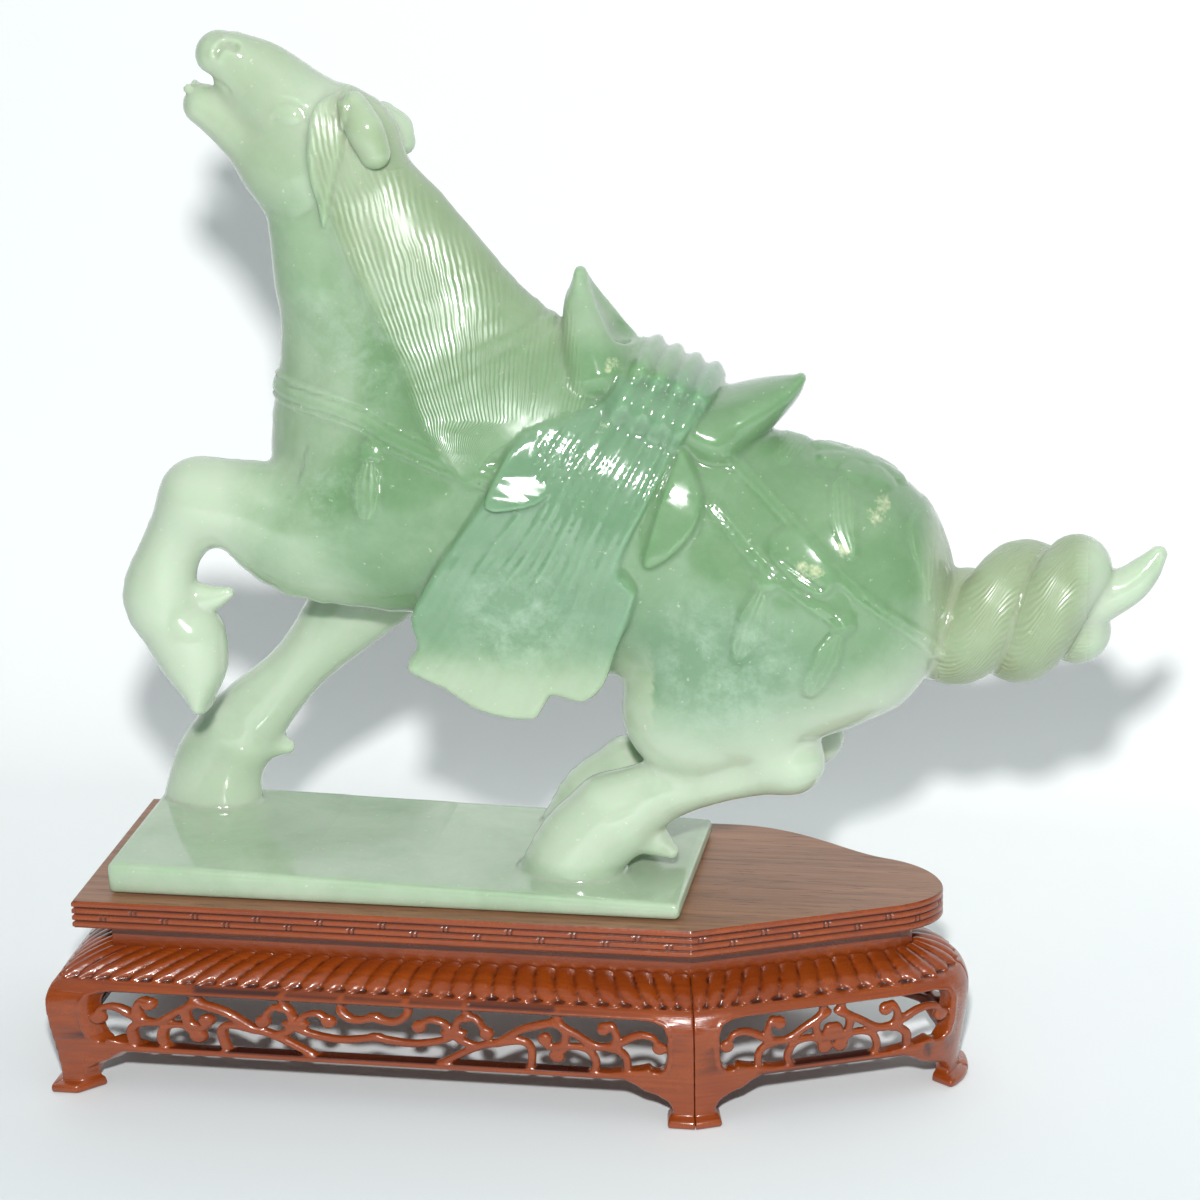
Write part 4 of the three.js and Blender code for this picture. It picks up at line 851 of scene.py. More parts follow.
def jade_material(settings):
    """Nephrite jade, carved with abrasive points and polished: waxy depth under a wet gloss.

    Light soaks a few millimetres into the stone and comes back green where it is thick and
    pale where it is thin, with cloudy whitish veils and small bright flecks.
    """
    material, shader = new_material("polished nephrite jade")
    place = add_node(material, "ShaderNodeTexCoord").outputs["Object"]

    cloud = noise(material, place, 26.0, 5.0, 0.62, 0.4)
    veil = noise(material, place, 95.0, 6.0, 0.72, 0.2)
    fleck = noise(material, place, 520.0, 3.0, 0.5)
    drift = maths(material, "MULTIPLY_ADD", cloud, 1.0, -0.5)
    green = maths(material, "ADD", attribute(material, "green"), drift, clamp=True)
    colour = mix(material, green, settings.pale, settings.green)
    sea = maths(material, "MULTIPLY", attribute(material, "sea"), 0.8)
    colour = mix(material, sea, colour, settings.sea)
    colour = mix(material, attribute(material, "olive"), colour, settings.olive)
    # Whitish veils, thicker in the milky clouds
    veiled = ramp(material, veil, [(0.42, (0, 0, 0)), (0.75, (1, 1, 1))])
    weight = maths(material, "MULTIPLY_ADD", attribute(material, "milk"), 0.36, 0.1)
    colour = mix(material, maths(material, "MULTIPLY", veiled, weight), colour, linear("#BFD3C0"))
    speck = noise(material, place, 260.0, 4.0, 0.7)
    speck = maths(material, "MULTIPLY_ADD", speck, 2.6, -1.75)
    # Pale flaws, partly painted highlights on the rump and the saddle's bow.
    flaw_and_glint = maths(material, "MULTIPLY_ADD", attribute(material, "flaw_and_glint"), 0.8, speck, clamp=True)
    colour = mix(material, flaw_and_glint, colour, linear("#E2E2C0"))
    flecked = ramp(material, fleck, [(0.69, (0, 0, 0)), (0.74, (1, 1, 1))])
    colour = mix(material, maths(material, "MULTIPLY", flecked, 0.25), colour, linear("#E8ECD8"))
    # Hair: fine grooves that wander and fade out
    wander = noise(material, place, 70.0, 3.0, 0.6)
    wander = maths(material, "MULTIPLY_ADD", wander, 9.0, attribute(material, "hair_phase"))
    strand = maths(material, "SINE", wander)
    fade = noise(material, place, 55.0, 2.0, 0.5)
    fade = maths(material, "MULTIPLY_ADD", fade, 2.6, -0.75, clamp=True)
    strand = maths(material, "MULTIPLY", strand, maths(
        material, "MULTIPLY", attribute(material, "hair_mask"), fade))
    # Painted shade: the hair grooves are coloured a darker olive where the bump sinks.
    groove = maths(material, "MULTIPLY", strand, -0.16, clamp=True)
    colour = mix(material, groove, colour, linear("#7C8F54"))
    grit = noise(material, place, 160.0, 4.0, 0.6)
    height = maths(material, "MULTIPLY_ADD", grit, 0.18, strand)
    bump = add_node(material, "ShaderNodeBump", None, {
        "Strength": 0.3, "Distance": 0.0004, "Height": height})
    polish = maths(material, "MULTIPLY_ADD", veil, 0.12, settings.roughness - 0.06)
    polish = maths(material, "MULTIPLY_ADD", attribute(material, "hair_mask"), 0.26, polish)
    set_shader(material, shader, {
        "Base Color": colour, "Roughness": polish, "IOR": 1.62, "Normal": bump.outputs["Normal"],
        "Coat Normal": bump.outputs["Normal"],
        "Subsurface Weight": 0.6, "Subsurface Radius": (0.55, 1.0, 0.6),
        "Subsurface Scale": 0.009, "Subsurface Anisotropy": 0.3, "Coat Weight": 0.25,
        "Coat Roughness": 0.04, "Coat IOR": 1.55})
    return material


class JADE_OT_carve_horse(bpy.types.Operator):
    """Carves the horse and its slab from one block and polishes it"""

    bl_idname = "jade.carve_horse"
    bl_label = "Carve the horse"

    def execute(self, context):
        settings = context.scene.jade_horse
        cell = settings.cell
        grid = sample(lambda p: horse_field(p, settings.relief), HORSE_LOW, HORSE_HIGH, cell)
        points, quads = surface(grid, HORSE_LOW, cell)
        horse = new_mesh("jade_horse", (points + POSE_SHIFT + SHIFT) * MM, quads)
        thin(horse, min(1, settings.faces / (2 * len(quads))))
        p = corner_points(horse) / MM - SHIFT - POSE_SHIFT
        phase, mask = look_up(HAIR_PHASE, p), look_up(HAIR_MASK, p)
        tail = np.flatnonzero((p[:, 0] > TAIL_FROM + 3) & (p[:, 0] < 184) & (p[:, 2] > 128))
        gaps = [strand_distance(line, p[tail]) for line in TAIL]
        turns = [strand_turn(line, p[tail]) for line in TAIL]
        phase[tail] = np.where(gaps[0] < gaps[1], turns[0], turns[1]) * TAIL_HAIRS
        crease = smoothstep(np.abs(gaps[0] - gaps[1]), 0.3, 2.5)
        mask[tail] = smoothstep(181 - p[tail, 0], 0, 6) * crease
        paint(horse, "hair_phase", phase)
        paint(horse, "hair_mask", mask)
        for name, share in tone_of(p).items():
            paint(horse, name, share)
        horse.data.materials.append(jade_material(settings))
        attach(horse, "root")
        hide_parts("horse")
        return {"FINISHED"}


# The stand's plan, as in the solids: five sides that run round the board

def bezier(p0, p1, p2, p3, steps):
    t = np.linspace(0, 1, steps)[:, None]
    return ((1 - t) ** 3 * p0 + 3 * (1 - t) ** 2 * t * p1 + 3 * (1 - t) * t ** 2 * p2 + t ** 3 * p3)


def plan_sides():
    """Each side's name, its line on the plan and the width of its legs."""
    back = BOARD_FRONT + BOARD_DEPTH
    tip = np.array([BOARD_LEFT + BOARD_LENGTH, BOARD_FRONT + TIP_FROM_FRONT])
    front_corner = np.array([BOARD_LEFT + FRONT_LENGTH, BOARD_FRONT])
    back_corner = np.array([BOARD_LEFT + BACK_LENGTH, back])
    front_bend = tip - [14.5, 17]
    back_bend = tip + [-20.5, 23.5]
    front_left = np.array([BOARD_LEFT, BOARD_FRONT])
    back_left = np.array([BOARD_LEFT, back])
    straight = np.linspace(0, 1, 40)[:, None]
    front_right = np.vstack([
        front_corner + straight[:-1] * (front_bend - front_corner),
        bezier(front_bend, tip - [6.5, 13.5], tip - [0, 7], tip, 24)])
    back_right = np.vstack([
        bezier(tip, tip + [0, 10], tip + [-8.5, 20], back_bend, 40)[:-1],
        bezier(back_bend, back_bend + [-15, 4.5], back_corner + [25, 0], back_corner, 60)])
    return [
        ("front", np.array([front_left, front_corner]), (1.0, 0.7)),
        ("front_right", front_right, (0.7, 0.7)),
        ("back_right", back_right, (0.7, 0.7)),
        ("back", np.array([back_corner, back_left]), (0.7, 1.0)),
        ("left", np.array([back_left, front_left]), (1.0, 1.0)),
    ]


class Side:
    """One side of the plan: where a share along it and an offset outwards lie."""

    def __init__(self, name, line, legs):
        self.name = name
        self.line = line
        self.legs = legs
        self.steps = np.hypot(*np.diff(line, axis=0).T)
        self.at = np.concatenate([[0], np.cumsum(self.steps)])
        self.length = self.at[-1]
        middles = (self.at[1:] + self.at[:-1]) / 2
        along = np.diff(line, axis=0) / self.steps[:, None]
        self.knots = np.concatenate([[0], middles, [self.length]])
        self.along = np.vstack([along[:1], along, along[-1:]])
        self.start_slide = self.end_slide = 0.0

    def place(self, share, offset):
        held = np.clip(share, 0, 1) * self.length
        x, y = (np.interp(held, self.at, self.line[:, c]) for c in range(2))
        ax, ay = (np.interp(held, self.knots, self.along[:, c]) for c in range(2))
        size = np.hypot(ax, ay)
        ax, ay = ax / size, ay / size
        slide = offset * (self.start_slide * (1 - share) + self.end_slide * share)
        return x + ax * slide + ay * offset, y + ay * slide - ax * offset


SIDES = [Side(*side) for side in plan_sides()]
for side_at, side in enumerate(SIDES):
    next_side = SIDES[(side_at + 1) % len(SIDES)]
    leaving, coming = side.along[-1], next_side.along[0]
    turn = math.atan2(leaving[0] * coming[1] - leaving[1] * coming[0], leaving @ coming)
    side.end_slide = math.tan(turn / 2)
    next_side.start_slide = -side.end_slide


def bulge(z):
    """How far outwards the carved face stands at a height below the rail."""
    middle = (OPENING_TOP + OPENING_BOTTOM) / 2 + 5
    drop = np.clip((middle - z) / (middle - FOOT_HEIGHT), 0, 1)
    rise = np.clip((z - middle) / (OPENING_TOP - middle), 0, 1)
    return BELLY_BULGE + (ANKLE_BULGE - BELLY_BULGE) * smoothstep(drop, 0, 1) - 1.1 * rise * rise


def section_line():
    """The apron's section: offset and height round its closed outline."""
    rise = np.linspace(FOOT_HEIGHT, OPENING_TOP, 14)
    outer = [(TOE_BULGE - 0.4, -0.1), (TOE_BULGE, 1.2), (TOE_BULGE - 0.3, 2.6)]
    outer += [(float(bulge(z)), float(z)) for z in rise]
    outer += [(6.3, 39.2), (4.4, 40.2), (3.4, 40.4), (2.6, 41.6), (0.2, 43.2), (-3, 44.6),
              (-6.5, 45.6), (FIT_GAP - WAIST_INSET, SHOULDER_TOP)]
    inner = [(float(bulge(z)) - APRON_THICKNESS, float(z)) for z in rise[::-1]]
    inner = [(-4, 41.5), (1.2, 38.6)] + inner + [(0.1, -0.1)]
    return np.array(outer + [(-8, 43.6)] + inner + outer[:1])


# Half of the vine scroll: strokes through (mm from the opening's end, share of its height),
# each with the width of the knob at its far end, in stroke widths
SCROLLS = [
    (0.0, [(13, -0.06), (13.2, 0.3), (17.5, 0.46), (22.7, 0.48), (29.2, 0.69), (36, 0.88)]),
    (0.9, [(17.5, 0.46), (13.6, 0.6), (9, 0.72), (4.6, 0.69), (2.6, 0.5)]),
    (0.85, [(17.8, 0.45), (15.9, 0.65), (17.5, 0.87), (20, 0.8)]),
    (0.9, [(34, 0.86), (32, 0.7), (33, 0.48), (37.6, 0.42), (38.6, 0.56)]),
    (1.0, [(24, -0.05), (22.6, 0.15), (25, 0.4), (31, 0.44), (35, 0.25)]),
    (0.0, [(34.5, 1.05), (34.5, 0.85)]),
    (0.0, [(34.5, 0.88), (45.5, 0.72), (53.9, 0.43)]),
    (0.0, [(43.8, -0.05), (43, 0.34), (46, 0.5), (53.9, 0.43), (60.4, 0.34), (72.4, -0.02)]),
    (0.9, [(60.4, 0.34), (66.5, 0.5), (65.8, 0.82), (60.5, 0.86), (57, 0.6)]),
    (0.0, [(64.5, 0.58), (70.5, 0.58)]),
    (0.0, [(63.5, 1.05), (63.5, 0.85)]),
    (0.9, [(94, 0.42), (81, 0.33), (69, 0.48), (70, 0.72), (75, 0.8), (78.5, 0.66)]),
    (0.0, [(82.5, 1.05), (82.5, 0.86), (87, 0.72), (94, 0.8)]),
]


def scroll_field(side, u, z):
    """Distance in the front view to the side's vine scroll."""
    ends = [LEG_WIDTH * share - 0.5 for share in side.legs]
    half = (side.length - sum(ends)) / 2
    runs = [run for run in SCROLLS if max(point[0] for point in run[1]) < half + 4]
    stretch = half / (max(point[0] for run in runs for point in run[1]) - 1)
    height = OPENING_TOP - OPENING_BOTTOM
    field = np.full(u.shape, 9.0)
    for knob, points in runs:
        for mirrored in (False, True):
            line = smooth_line([
                (side.length - ends[1] - a * stretch if mirrored else ends[0] + a * stretch,
                 OPENING_BOTTOM + b * height) for a, b in points], 6)
            gap, along, _ = line_distance(u, z, line)
            length = np.hypot(*np.diff(line, axis=0).T).sum()
            taper = np.interp(along / length, [0, 0.3, 1], [1.0, 1.08, 0.8 if knob else 1.0])
            field = blend_min(field, gap - VINE_WIDTH / 2 * taper, 0.8)
            if knob:
                ball = np.hypot(u - line[-1][0], z - line[-1][1]) - knob * VINE_WIDTH
                field = blend_min(field, ball, 0.5)
    return field


def apron_outline(side):
    """The apron's outline in the front view, running on past both mitres."""
    over = 3
    half = [(-over, -0.5), (8.5, -0.5), (8.8, 1.2), (8.3, 2.8), (6.7, 3.9), (6.9, 5.4),
            (8.5, 8.0), (12, 10.2), (16, 11.6), (19, 13.8), (22, OPENING_BOTTOM - LOWER_RAIL)]
    right = [(side.length - u, z) for u, z in half[::-1]]
    return np.array(half + right + [(side.length + over, SHOULDER_TOP + 3),
                                    (-over, SHOULDER_TOP + 3), (-over, -0.5)])


def opening_outline(side):
    """The pierced opening: rounded above, with a hooked sill over each bracket."""
    points = []
    for end, share in enumerate(side.legs):
        leg = LEG_WIDTH * share
        half = [(BRACKET_LENGTH + 3, OPENING_BOTTOM), (leg + 8, OPENING_BOTTOM + 1.7),
                (leg + 5.2, OPENING_BOTTOM + 2.6), (leg + 4.4, OPENING_BOTTOM + 1.4),
                (leg + 2.2, OPENING_BOTTOM + 0.9), (leg + 0.4, OPENING_BOTTOM + 2.8),
                (leg - 0.4, OPENING_BOTTOM + 7), (leg - 0.4, OPENING_TOP - 5),
                (leg + 0.8, OPENING_TOP - 1.6), (leg + 4.5, OPENING_TOP - 0.2),
                (leg + 9, OPENING_TOP)]
        points += half if end == 0 else [(side.length - u, z) for u, z in half[::-1]]
    return np.array(points + points[:1])


def grid_of(picture_low, cell, shape):
    return np.meshgrid(*(low + cell * np.arange(n) for low, n in zip(picture_low, shape)),
                       indexing="ij")


def carve_apron(side, cell):
    """Corner points and quads of one apron."""
    low = np.array([-1.5, -12.0, -2.0])
    high = np.array([side.length + 1.5, 11.5, SHOULDER_TOP + 1.6])
    shape = np.ceil((high - low) / cell).astype(int) + 1
    d, zs = grid_of(low[1:], cell, shape[1:])
    section = outline_distance(d, zs, section_line())
    u, z = grid_of(low[[0, 2]], cell, shape[[0, 2]])
    opening = outline_distance(u, z, opening_outline(side))
    front = blend_max(outline_distance(u, z, apron_outline(side)), -opening, 0.8)
    vine = scroll_field(side, u, z)

    lobes = round((side.length + 2 * BELLY_BULGE) / LOBE_PITCH)
    ends = np.clip(np.minimum(u, side.length - u) / (2 * LOBE_PITCH), 0, 1)
    down = np.clip((SHOULDER_TOP - z) / (SHOULDER_TOP - 40.6), 0, 1.2)
    lean = LOBE_PITCH * 0.9 * (2 * u / side.length - 1) * ends
    wave = np.abs(np.sin(math.pi * (u - lean * down) / side.length * lobes))
    lobe = wave ** 0.55 * smoothstep(down, 1.12 - 0.14 * (1 - wave), 0.96 - 0.2 * (1 - wave))
    band = smoothstep(z, 39.9, 40.7)
    bead = smoothstep(np.abs(opening - 0.9), 0.8, 0.35) * (z < OPENING_TOP + 3) * (z > 19)
    raised = band * (1.35 * lobe - 0.35) + 0.45 * bead

    raised = raised[:, None, :]
    outward = (smoothstep(d, -11, -8) * (section < 2.5) * (section > -3.5))[None]
    frame_field = blend_max(section[None] - raised * outward, front[:, None, :], 0.7)
    face = bulge(zs) - 0.6 - VINE_DEPTH / 2
    plate = (np.abs(d - face) - VINE_DEPTH / 2)[None]
    vine_field = blend_max(plate, vine[:, None, :], 1.5)
    field = blend_min(frame_field, np.broadcast_to(vine_field, frame_field.shape), 0.6)
    field = np.maximum(field, (SEAM - u)[:, None, :])
    field = np.maximum(field, (u - side.length + SEAM)[:, None, :])
    points, quads = surface(field.astype(np.float32), low, cell)
    x, y = side.place(points[:, 0] / side.length, points[:, 1])
    placed = np.stack([x, y, np.maximum(points[:, 2], 0)], 1)
    return placed, quads[:, ::-1]


def wood_material(settings):
    """Rosewood, carved, stained and brush-lacquered: red-brown under a thick wet gloss.

    The hollows are painted darker as shade, the grain shows as fine streaks along each
    side, and brush waves and dust in the lacquer break up the highlights.
    """
    material, shader = new_material("lacquered carved rosewood")
    grain = add_node(material, "ShaderNodeAttribute", {"attribute_name": "grain"}).outputs["Vector"]
    streak = noise(material, grain, 1.0, 6.0, 0.6, 0.5)
    fine = noise(material, grain, 4.5, 3.0, 0.55)
    place = add_node(material, "ShaderNodeTexCoord").outputs["Object"]
    patch = noise(material, place, 60.0, 4.0, 0.6)
    shade = maths(material, "MULTIPLY_ADD", streak, 1.6, -0.55)
    shade = maths(material, "MULTIPLY_ADD", fine, 0.5, shade, clamp=True)
    mid = tuple((a + b) / 2 for a, b in zip(settings.light, settings.dark))
    colour = mix(material, shade, mid, settings.light)
    patched = ramp(material, patch, [(0.4, (0, 0, 0)), (0.75, (1, 1, 1))])
    colour = mix(material, maths(material, "MULTIPLY", patched, 0.4), colour, linear("#6A220A"))
    # Painted shade: the carved hollows are mixed towards the dark wood colour.
    colour = mix(material, attribute(material, "hollow_shade"), colour, settings.dark)
    brushed = noise(material, place, 340.0, 3.0, 0.55)
    height = maths(material, "MULTIPLY_ADD", fine, 0.35, brushed)
    bump = add_node(material, "ShaderNodeBump", None, {
        "Strength": 0.5, "Distance": 0.00028, "Height": height})
    rough = maths(material, "MULTIPLY_ADD", patch, 0.22, 0.18)
    set_shader(material, shader, {
        "Base Color": colour, "Roughness": rough, "IOR": 1.5, "Normal": bump.outputs["Normal"],
        "Coat Weight": 0.5, "Coat Roughness": 0.1, "Coat IOR": 1.5})
    return material


def board_material(settings):
    """Rosewood, planed and waxed: dull brown with short dark open pores along the grain."""
    material, shader = new_material("waxed rosewood board")
    grain = add_node(material, "ShaderNodeAttribute", {"attribute_name": "grain"}).outputs["Vector"]
    streak = noise(material, grain, 0.55, 5.0, 0.6, 0.4)
    pore = noise(material, grain, 2.6, 2.0, 0.5)
    tint = ramp(material, streak, [
        (0.3, tuple(c * 0.72 for c in settings.top)), (0.5, tuple(settings.top)),
        (0.72, tuple(c * 1.35 for c in settings.top))])
    pores = ramp(material, pore, [(0.62, (0, 0, 0)), (0.7, (1, 1, 1))])
    colour = mix(material, maths(material, "MULTIPLY", pores, 0.8), tint, settings.pore)
    sunk = maths(material, "SUBTRACT", 1.0, pores)
    bump = add_node(material, "ShaderNodeBump", None, {
        "Strength": 0.5, "Distance": 0.0002, "Height": sunk})
    set_shader(material, shader, {
        "Base Color": colour, "Roughness": 0.46, "IOR": 1.5, "Normal": bump.outputs["Normal"],
        "Coat Weight": 0.15, "Coat Roughness": 0.3})
    return material


# Grain of the wood: streaks about 40 mm long, 1.2 mm wide
GRAIN_SCALE = np.array([1 / 34, 1 / 1.3, 1 / 1.3])


def paint_grain(piece, along):
    """Keeps the wood's own place, stretched along its grain, on every corner point."""
    layer = piece.data.attributes.new("grain", "FLOAT_VECTOR", "POINT")
    layer.data.foreach_set("vector", (along * GRAIN_SCALE).astype(np.float32).ravel())


def unrolled(side, points):
    """Where points in the frame lie along, across and up a side, for the grain."""
    flat = points[:, :2] / MM - SHIFT[:2]
    share = np.linspace(0, 1, 240)
    line = np.stack(side.place(share, np.full(share.shape, 3.0)), 1)
    nearest = ((flat[:, None] - line[None]) ** 2).sum(2).argmin(1)
    across = np.hypot(*(flat - line[nearest]).T)
    return np.stack([share[nearest] * side.length, across, points[:, 2] / MM], 1)


class JADE_OT_carve_aprons(bpy.types.Operator):
    """Carves the stand's five pierced and gadrooned sides"""

    bl_idname = "jade.carve_aprons"
    bl_label = "Carve the aprons"

    def execute(self, context):
        settings = context.scene.jade_wood
        cell = settings.cell * 1
        material = wood_material(settings)
        for number, side in enumerate(SIDES):
            points, quads = carve_apron(side, cell)
            apron = new_mesh(f"carved_apron_{side.name}", (points + SHIFT) * MM, quads)
            thin(apron, settings.share)
            # Painted shade in the apron's hollows, darker the deeper they lie.
            paint(apron, "hollow_shade", np.clip(hollows(apron) * 9, 0, 1))
            placed = corner_points(apron)
            paint_grain(apron, unrolled(side, placed) + [number * 400, 0, 0])
            apron.data.materials.append(material)
            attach(apron, "root")
            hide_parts(f"apron_{side.name}")
        return {"FINISHED"}


RIDGE_PITCH = BOARD_THICKNESS / 4
BRICK_LENGTH = 21.0
BOARD_ROUND = 0.45


def board_rim(s, z, around):
    """Inward depth of the board's edge: fine ridges with staggered upright joints."""
    row = np.floor(z / RIDGE_PITCH)
    groove = np.abs(z / RIDGE_PITCH - np.round(z / RIDGE_PITCH)) * RIDGE_PITCH
    depth = 0.7 * smoothstep(groove, 0.55, 0.12)
    bricks = round(around / BRICK_LENGTH)
    shifted = s / around * bricks + 0.5 * (row % 2)
    joint = np.abs(shifted - np.round(shifted)) * BRICK_LENGTH
    middle = (row >= 1) & (row <= 2)
    double = np.minimum(np.abs(joint - 0.75), joint + 0.5)
    return np.maximum(depth, 0.55 * smoothstep(double, 0.45, 0.1) * middle)


class JADE_OT_shape_board(bpy.types.Operator):
    """Planes the board and cuts the ridges and brick joints round its edge"""

    bl_idname = "jade.shape_board"
    bl_label = "Shape the board"

    def execute(self, context):
        settings = context.scene.jade_wood
        step = 0.5
        ring, normals, lengths = [], [], []
        for side in SIDES:
            share = np.linspace(0, 1, max(2, round(side.length / step)), endpoint=False)
            base = np.stack(side.place(share, np.zeros(share.shape)), 1)
            out = np.stack(side.place(share, np.ones(share.shape)), 1) - base
            ring.append(base)
            normals.append(out)
            lengths.append(share * side.length)
        offsets = np.cumsum([0] + [side.length for side in SIDES])
        s = np.concatenate([at + offset for at, offset in zip(lengths, offsets)])
        ring, normals = np.vstack(ring), np.vstack(normals)
        heights = np.concatenate([
            [0, 0.25], np.linspace(BOARD_ROUND, BOARD_THICKNESS - BOARD_ROUND, 34),
            [BOARD_THICKNESS - 0.25, BOARD_THICKNESS]])
        edge = np.minimum(heights, BOARD_THICKNESS - heights)
        inner = BOARD_ROUND - np.minimum(edge, BOARD_ROUND)
        rounding = BOARD_ROUND - np.sqrt(np.clip(BOARD_ROUND ** 2 - inner ** 2, 0, 1))
        rows = []
        for z, inset in zip(heights, rounding):
            depth = board_rim(s, np.full(s.shape, z), offsets[-1]) * (inset < 0.2)
            flat = ring - normals * np.maximum(depth, inset)[:, None]
            rows.append(np.column_stack([flat, np.full(len(s), BOARD_TOP - BOARD_THICKNESS + z)]))
        count = len(s)
        points = np.vstack(rows)
        index = np.arange(count)
        faces = [(index + k * count, (index + 1) % count + k * count,
                  (index + 1) % count + (k + 1) * count, index + (k + 1) * count)
                 for k in range(len(rows) - 1)]
        quads = np.concatenate([np.stack(face, 1) for face in faces])
        board = new_mesh("stand_board", (points + SHIFT) * MM, quads)
        self.close(board, count, len(rows))
        placed = corner_points(board)
        paint_grain(board, placed / MM)
        # Painted shade in the ridges and brick joints of the board's edge.
        paint(board, "hollow_shade", np.clip(hollows(board, 1) * 16, 0, 1))
        board.data.materials.append(wood_material(settings))
        board.data.materials.append(board_material(settings))
        flat = np.array([abs(face.normal.z) > 0.95 for face in board.data.polygons])
        board.data.polygons.foreach_set("material_index", flat.astype(np.int32))
        board.data.polygons.foreach_set("use_smooth", ~flat)
        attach(board, "root")
        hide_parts("stand_top")
        return {"FINISHED"}

    @staticmethod
    def close(board, count, rows):
        """Fills the board's upper and lower faces."""
        edit = bmesh.new()
        edit.from_mesh(board.data)
        edit.verts.ensure_lookup_table()
        edit.faces.new([edit.verts[i] for i in range(count)][::-1])
        edit.faces.new([edit.verts[(rows - 1) * count + i] for i in range(count)])
        bmesh.ops.triangulate(edit, faces=[f for f in edit.faces if len(f.verts) > 4])
        bmesh.ops.recalc_face_normals(edit, faces=edit.faces)
        edit.to_mesh(board.data)
        edit.free()


class JADE_OT_finish_waist(bpy.types.Operator):
    """Stains and lacquers the plain waist under the board, and paints it with an even shade"""

    bl_idname = "jade.finish_waist"
    bl_label = "Finish the waist"

    def execute(self, context):
        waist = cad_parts["stand_waist"]
        waist.data.materials.clear()
        paint_grain(waist, corner_points(waist) / MM)
        # Painted shade: the whole waist, in the shade under the board, is darkened evenly.
        paint(waist, "hollow_shade", np.full(len(waist.data.vertices), 0.15))
        waist.data.materials.append(wood_material(context.scene.jade_wood))
        return {"FINISHED"}


# Where the camera and the flash point, in the sheet's mm
AIM = (21.1, 0, 161.3)
# Turn from the front and height in degrees, distance in metres, roll in degrees
CAMERA_PLACE = (10.39, 18.31, 1.1298, -1.39)
FLASH_PLACE = (9.8, 26.0, 1.14)
FLASH_WIDTH = 0.05


def look_from(target, azimuth, elevation, distance, roll=0.0):
    """The matrix of a camera or light that looks at the target from those angles."""
    a, e = math.radians(azimuth), math.radians(elevation)
    back = Vector((math.sin(a) * math.cos(e), -math.cos(a) * math.cos(e), math.sin(e)))
    right = Vector((math.cos(a), math.sin(a), 0))
    up = back.cross(right)
    r = math.radians(roll)
    right, up = math.cos(r) * right + math.sin(r) * up, math.cos(r) * up - math.sin(r) * right
    turned = Matrix((right, up, back)).transposed().to_4x4()
    return Matrix.Translation(Vector(target) + back * distance) @ turned


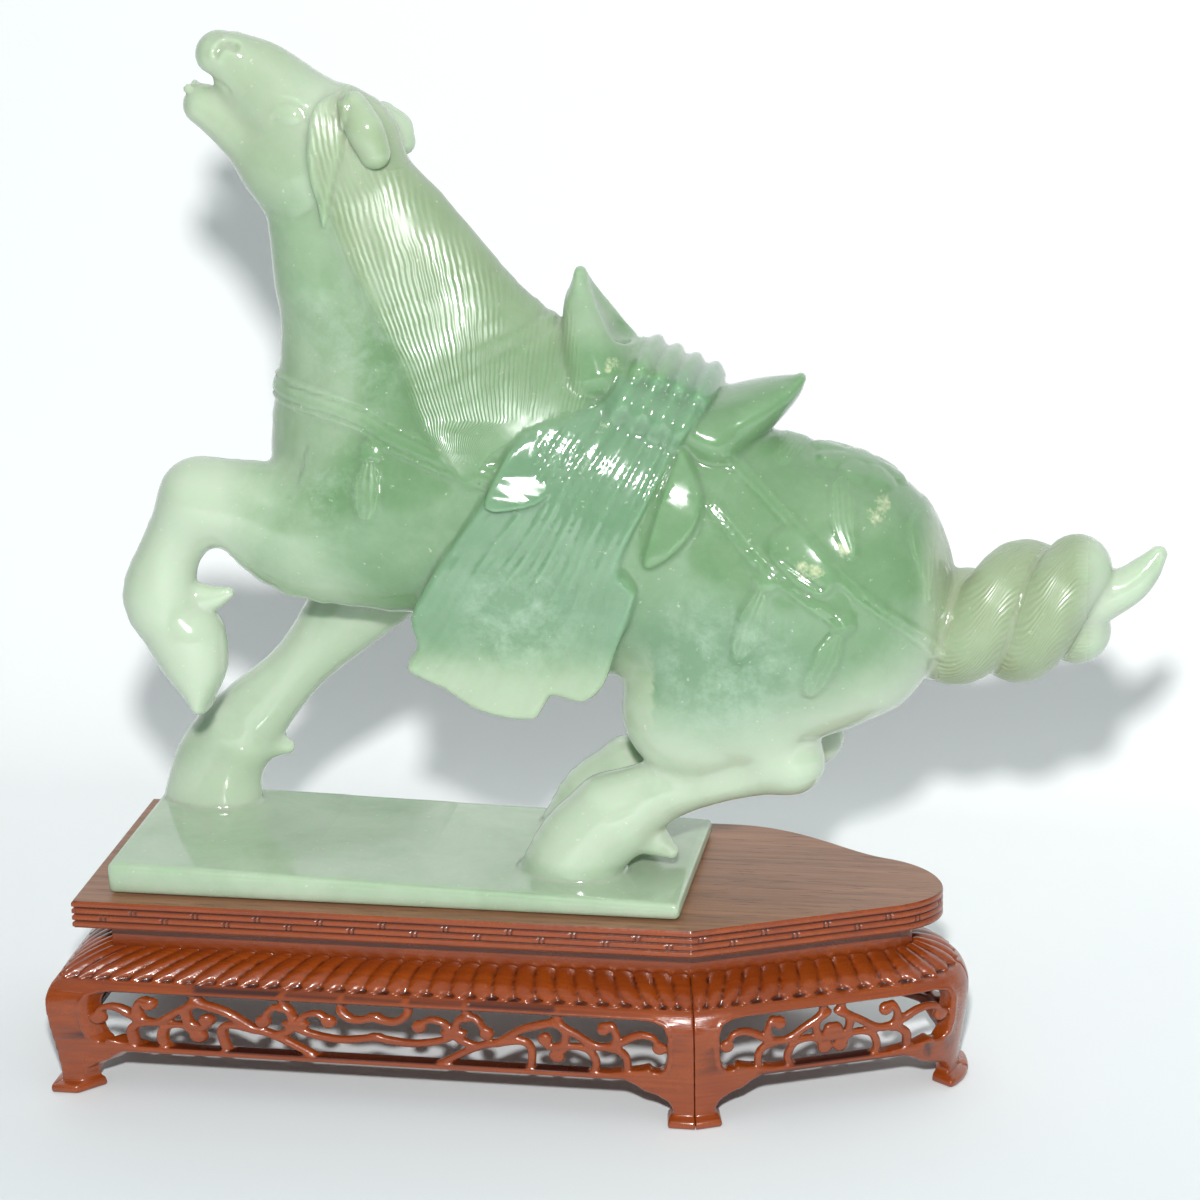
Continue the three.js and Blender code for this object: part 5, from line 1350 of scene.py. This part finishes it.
class JADE_OT_set_stage(bpy.types.Operator):
    """Lays the pale floor and sets the flash, the room and the camera"""

    bl_idname = "jade.set_stage"
    bl_label = "Set the stage"

    def execute(self, context):
        settings = context.scene.jade_stage
        self.floor(settings)
        self.flash(context, settings)
        self.world(context, settings)
        self.camera(context, settings)
        return {"FINISHED"}

    def floor(self, settings):
        """A paper sweep that runs level under the stand and curves up close behind it."""
        front, back, half, rise, radius, steps = -1.6, 0.34, 2.2, 1.5, 0.12, 16
        profile = [(front, 0.0), (back - radius, 0.0)]
        for i in range(1, steps + 1):
            turn = math.pi / 2 * i / steps
            profile.append((back - radius + radius * math.sin(turn),
                            radius - radius * math.cos(turn)))
        profile.append((back, rise))
        points = [(x, y, z - 0.0002) for x in (-half, half) for y, z in profile]
        n = len(profile)
        faces = np.array([(i, n + i, n + i + 1, i + 1) for i in range(n - 1)])
        floor = new_mesh("pale_floor", np.array(points), faces)
        material, shader = new_material("matt white paper sweep")
        place = add_node(material, "ShaderNodeTexCoord").outputs["Object"]
        split = add_node(material, "ShaderNodeSeparateXYZ", None, {"Vector": place})
        back_share = maths(material, "MULTIPLY_ADD", split.outputs["Y"], 2.6, 0.4, clamp=True)
        cloudy = add_node(material, "ShaderNodeTexNoise", None, {"Vector": place, "Scale": 3.0})
        # Darker towards the front: the floor colour in front blends into the wall colour behind.
        tint = mix(material, back_share, settings.floor, settings.wall)
        tint = mix(material, maths(material, "MULTIPLY", cloudy.outputs["Fac"], 0.05), tint,
                   linear("#DDE6E8"))
        set_shader(material, shader, {"Base Color": tint, "Roughness": 0.85})
        floor.data.materials.append(material)

    def flash(self, context, settings):
        """The small bright light just over the camera, which draws the crisp highlights."""
        data = bpy.data.lights.new("flash", "AREA")
        data.shape = "DISK"
        data.size = FLASH_WIDTH
        data.energy = settings.flash
        light = bpy.data.objects.new("flash", data)
        light.matrix_world = look_from(self.target(), *FLASH_PLACE)
        context.scene.collection.objects.link(light)

    def world(self, context, settings):
        """A pale ceiling over a dimmer room, so that upright faces reflect little."""
        world = bpy.data.worlds.new("pale room")
        world.use_nodes = True
        place = add_node(world, "ShaderNodeTexCoord").outputs["Generated"]
        height = add_node(world, "ShaderNodeSeparateXYZ", None, {"Vector": place}).outputs["Z"]
        dim, pale = linear("#5C6468"), linear("#F2F8FA")
        sky = ramp(world, height, [
            (0.0, dim), (0.28, linear("#70787C")), (0.62, pale), (1.0, pale)])
        background = world.node_tree.nodes["Background"]
        world.node_tree.links.new(sky, background.inputs["Color"])
        background.inputs["Strength"].default_value = settings.room
        context.scene.world = world

    def camera(self, context, settings):
        data = bpy.data.cameras.new("camera")
        data.lens = settings.lens
        data.sensor_width = 36
        camera = bpy.data.objects.new("camera", data)
        camera.matrix_world = look_from(self.target(), *CAMERA_PLACE)
        context.scene.collection.objects.link(camera)
        context.scene.camera = camera
        context.scene.view_settings.view_transform = "Standard"

    @staticmethod
    def target():
        return (np.array(AIM) + SHIFT) * MM


class JADE_PT_panel(bpy.types.Panel):
    """Lists the steps that dress the horse and its stand"""

    bl_idname = "JADE_PT_panel"
    bl_label = "Jade Horse"
    bl_space_type = "VIEW_3D"
    bl_region_type = "UI"
    bl_category = "Jade Horse"

    def draw(self, context):
        for group in (context.scene.jade_horse, context.scene.jade_wood, context.scene.jade_stage):
            box = self.layout.box()
            for name in group.__annotations__:
                box.prop(group, name)
        for step in STEPS:
            self.layout.operator(step.bl_idname)


STEPS = [JADE_OT_set_stage, JADE_OT_carve_horse, JADE_OT_shape_board, JADE_OT_carve_aprons,
         JADE_OT_finish_waist]
GROUPS = {"jade_horse": JadeSettings, "jade_wood": WoodSettings, "jade_stage": StageSettings}


def register():
    for name, group in GROUPS.items():
        bpy.utils.register_class(group)
        setattr(bpy.types.Scene, name, bpy.props.PointerProperty(type=group))
    for step in STEPS:
        bpy.utils.register_class(step)
    bpy.utils.register_class(JADE_PT_panel)


def unregister():
    bpy.utils.unregister_class(JADE_PT_panel)
    for step in STEPS:
        bpy.utils.unregister_class(step)
    for name, group in GROUPS.items():
        delattr(bpy.types.Scene, name)
        bpy.utils.unregister_class(group)


def main():
    register()
    bpy.ops.jade.set_stage()
    bpy.ops.jade.carve_horse()
    bpy.ops.jade.shape_board()
    bpy.ops.jade.carve_aprons()
    bpy.ops.jade.finish_waist()


if __name__ == "__main__":
    main()
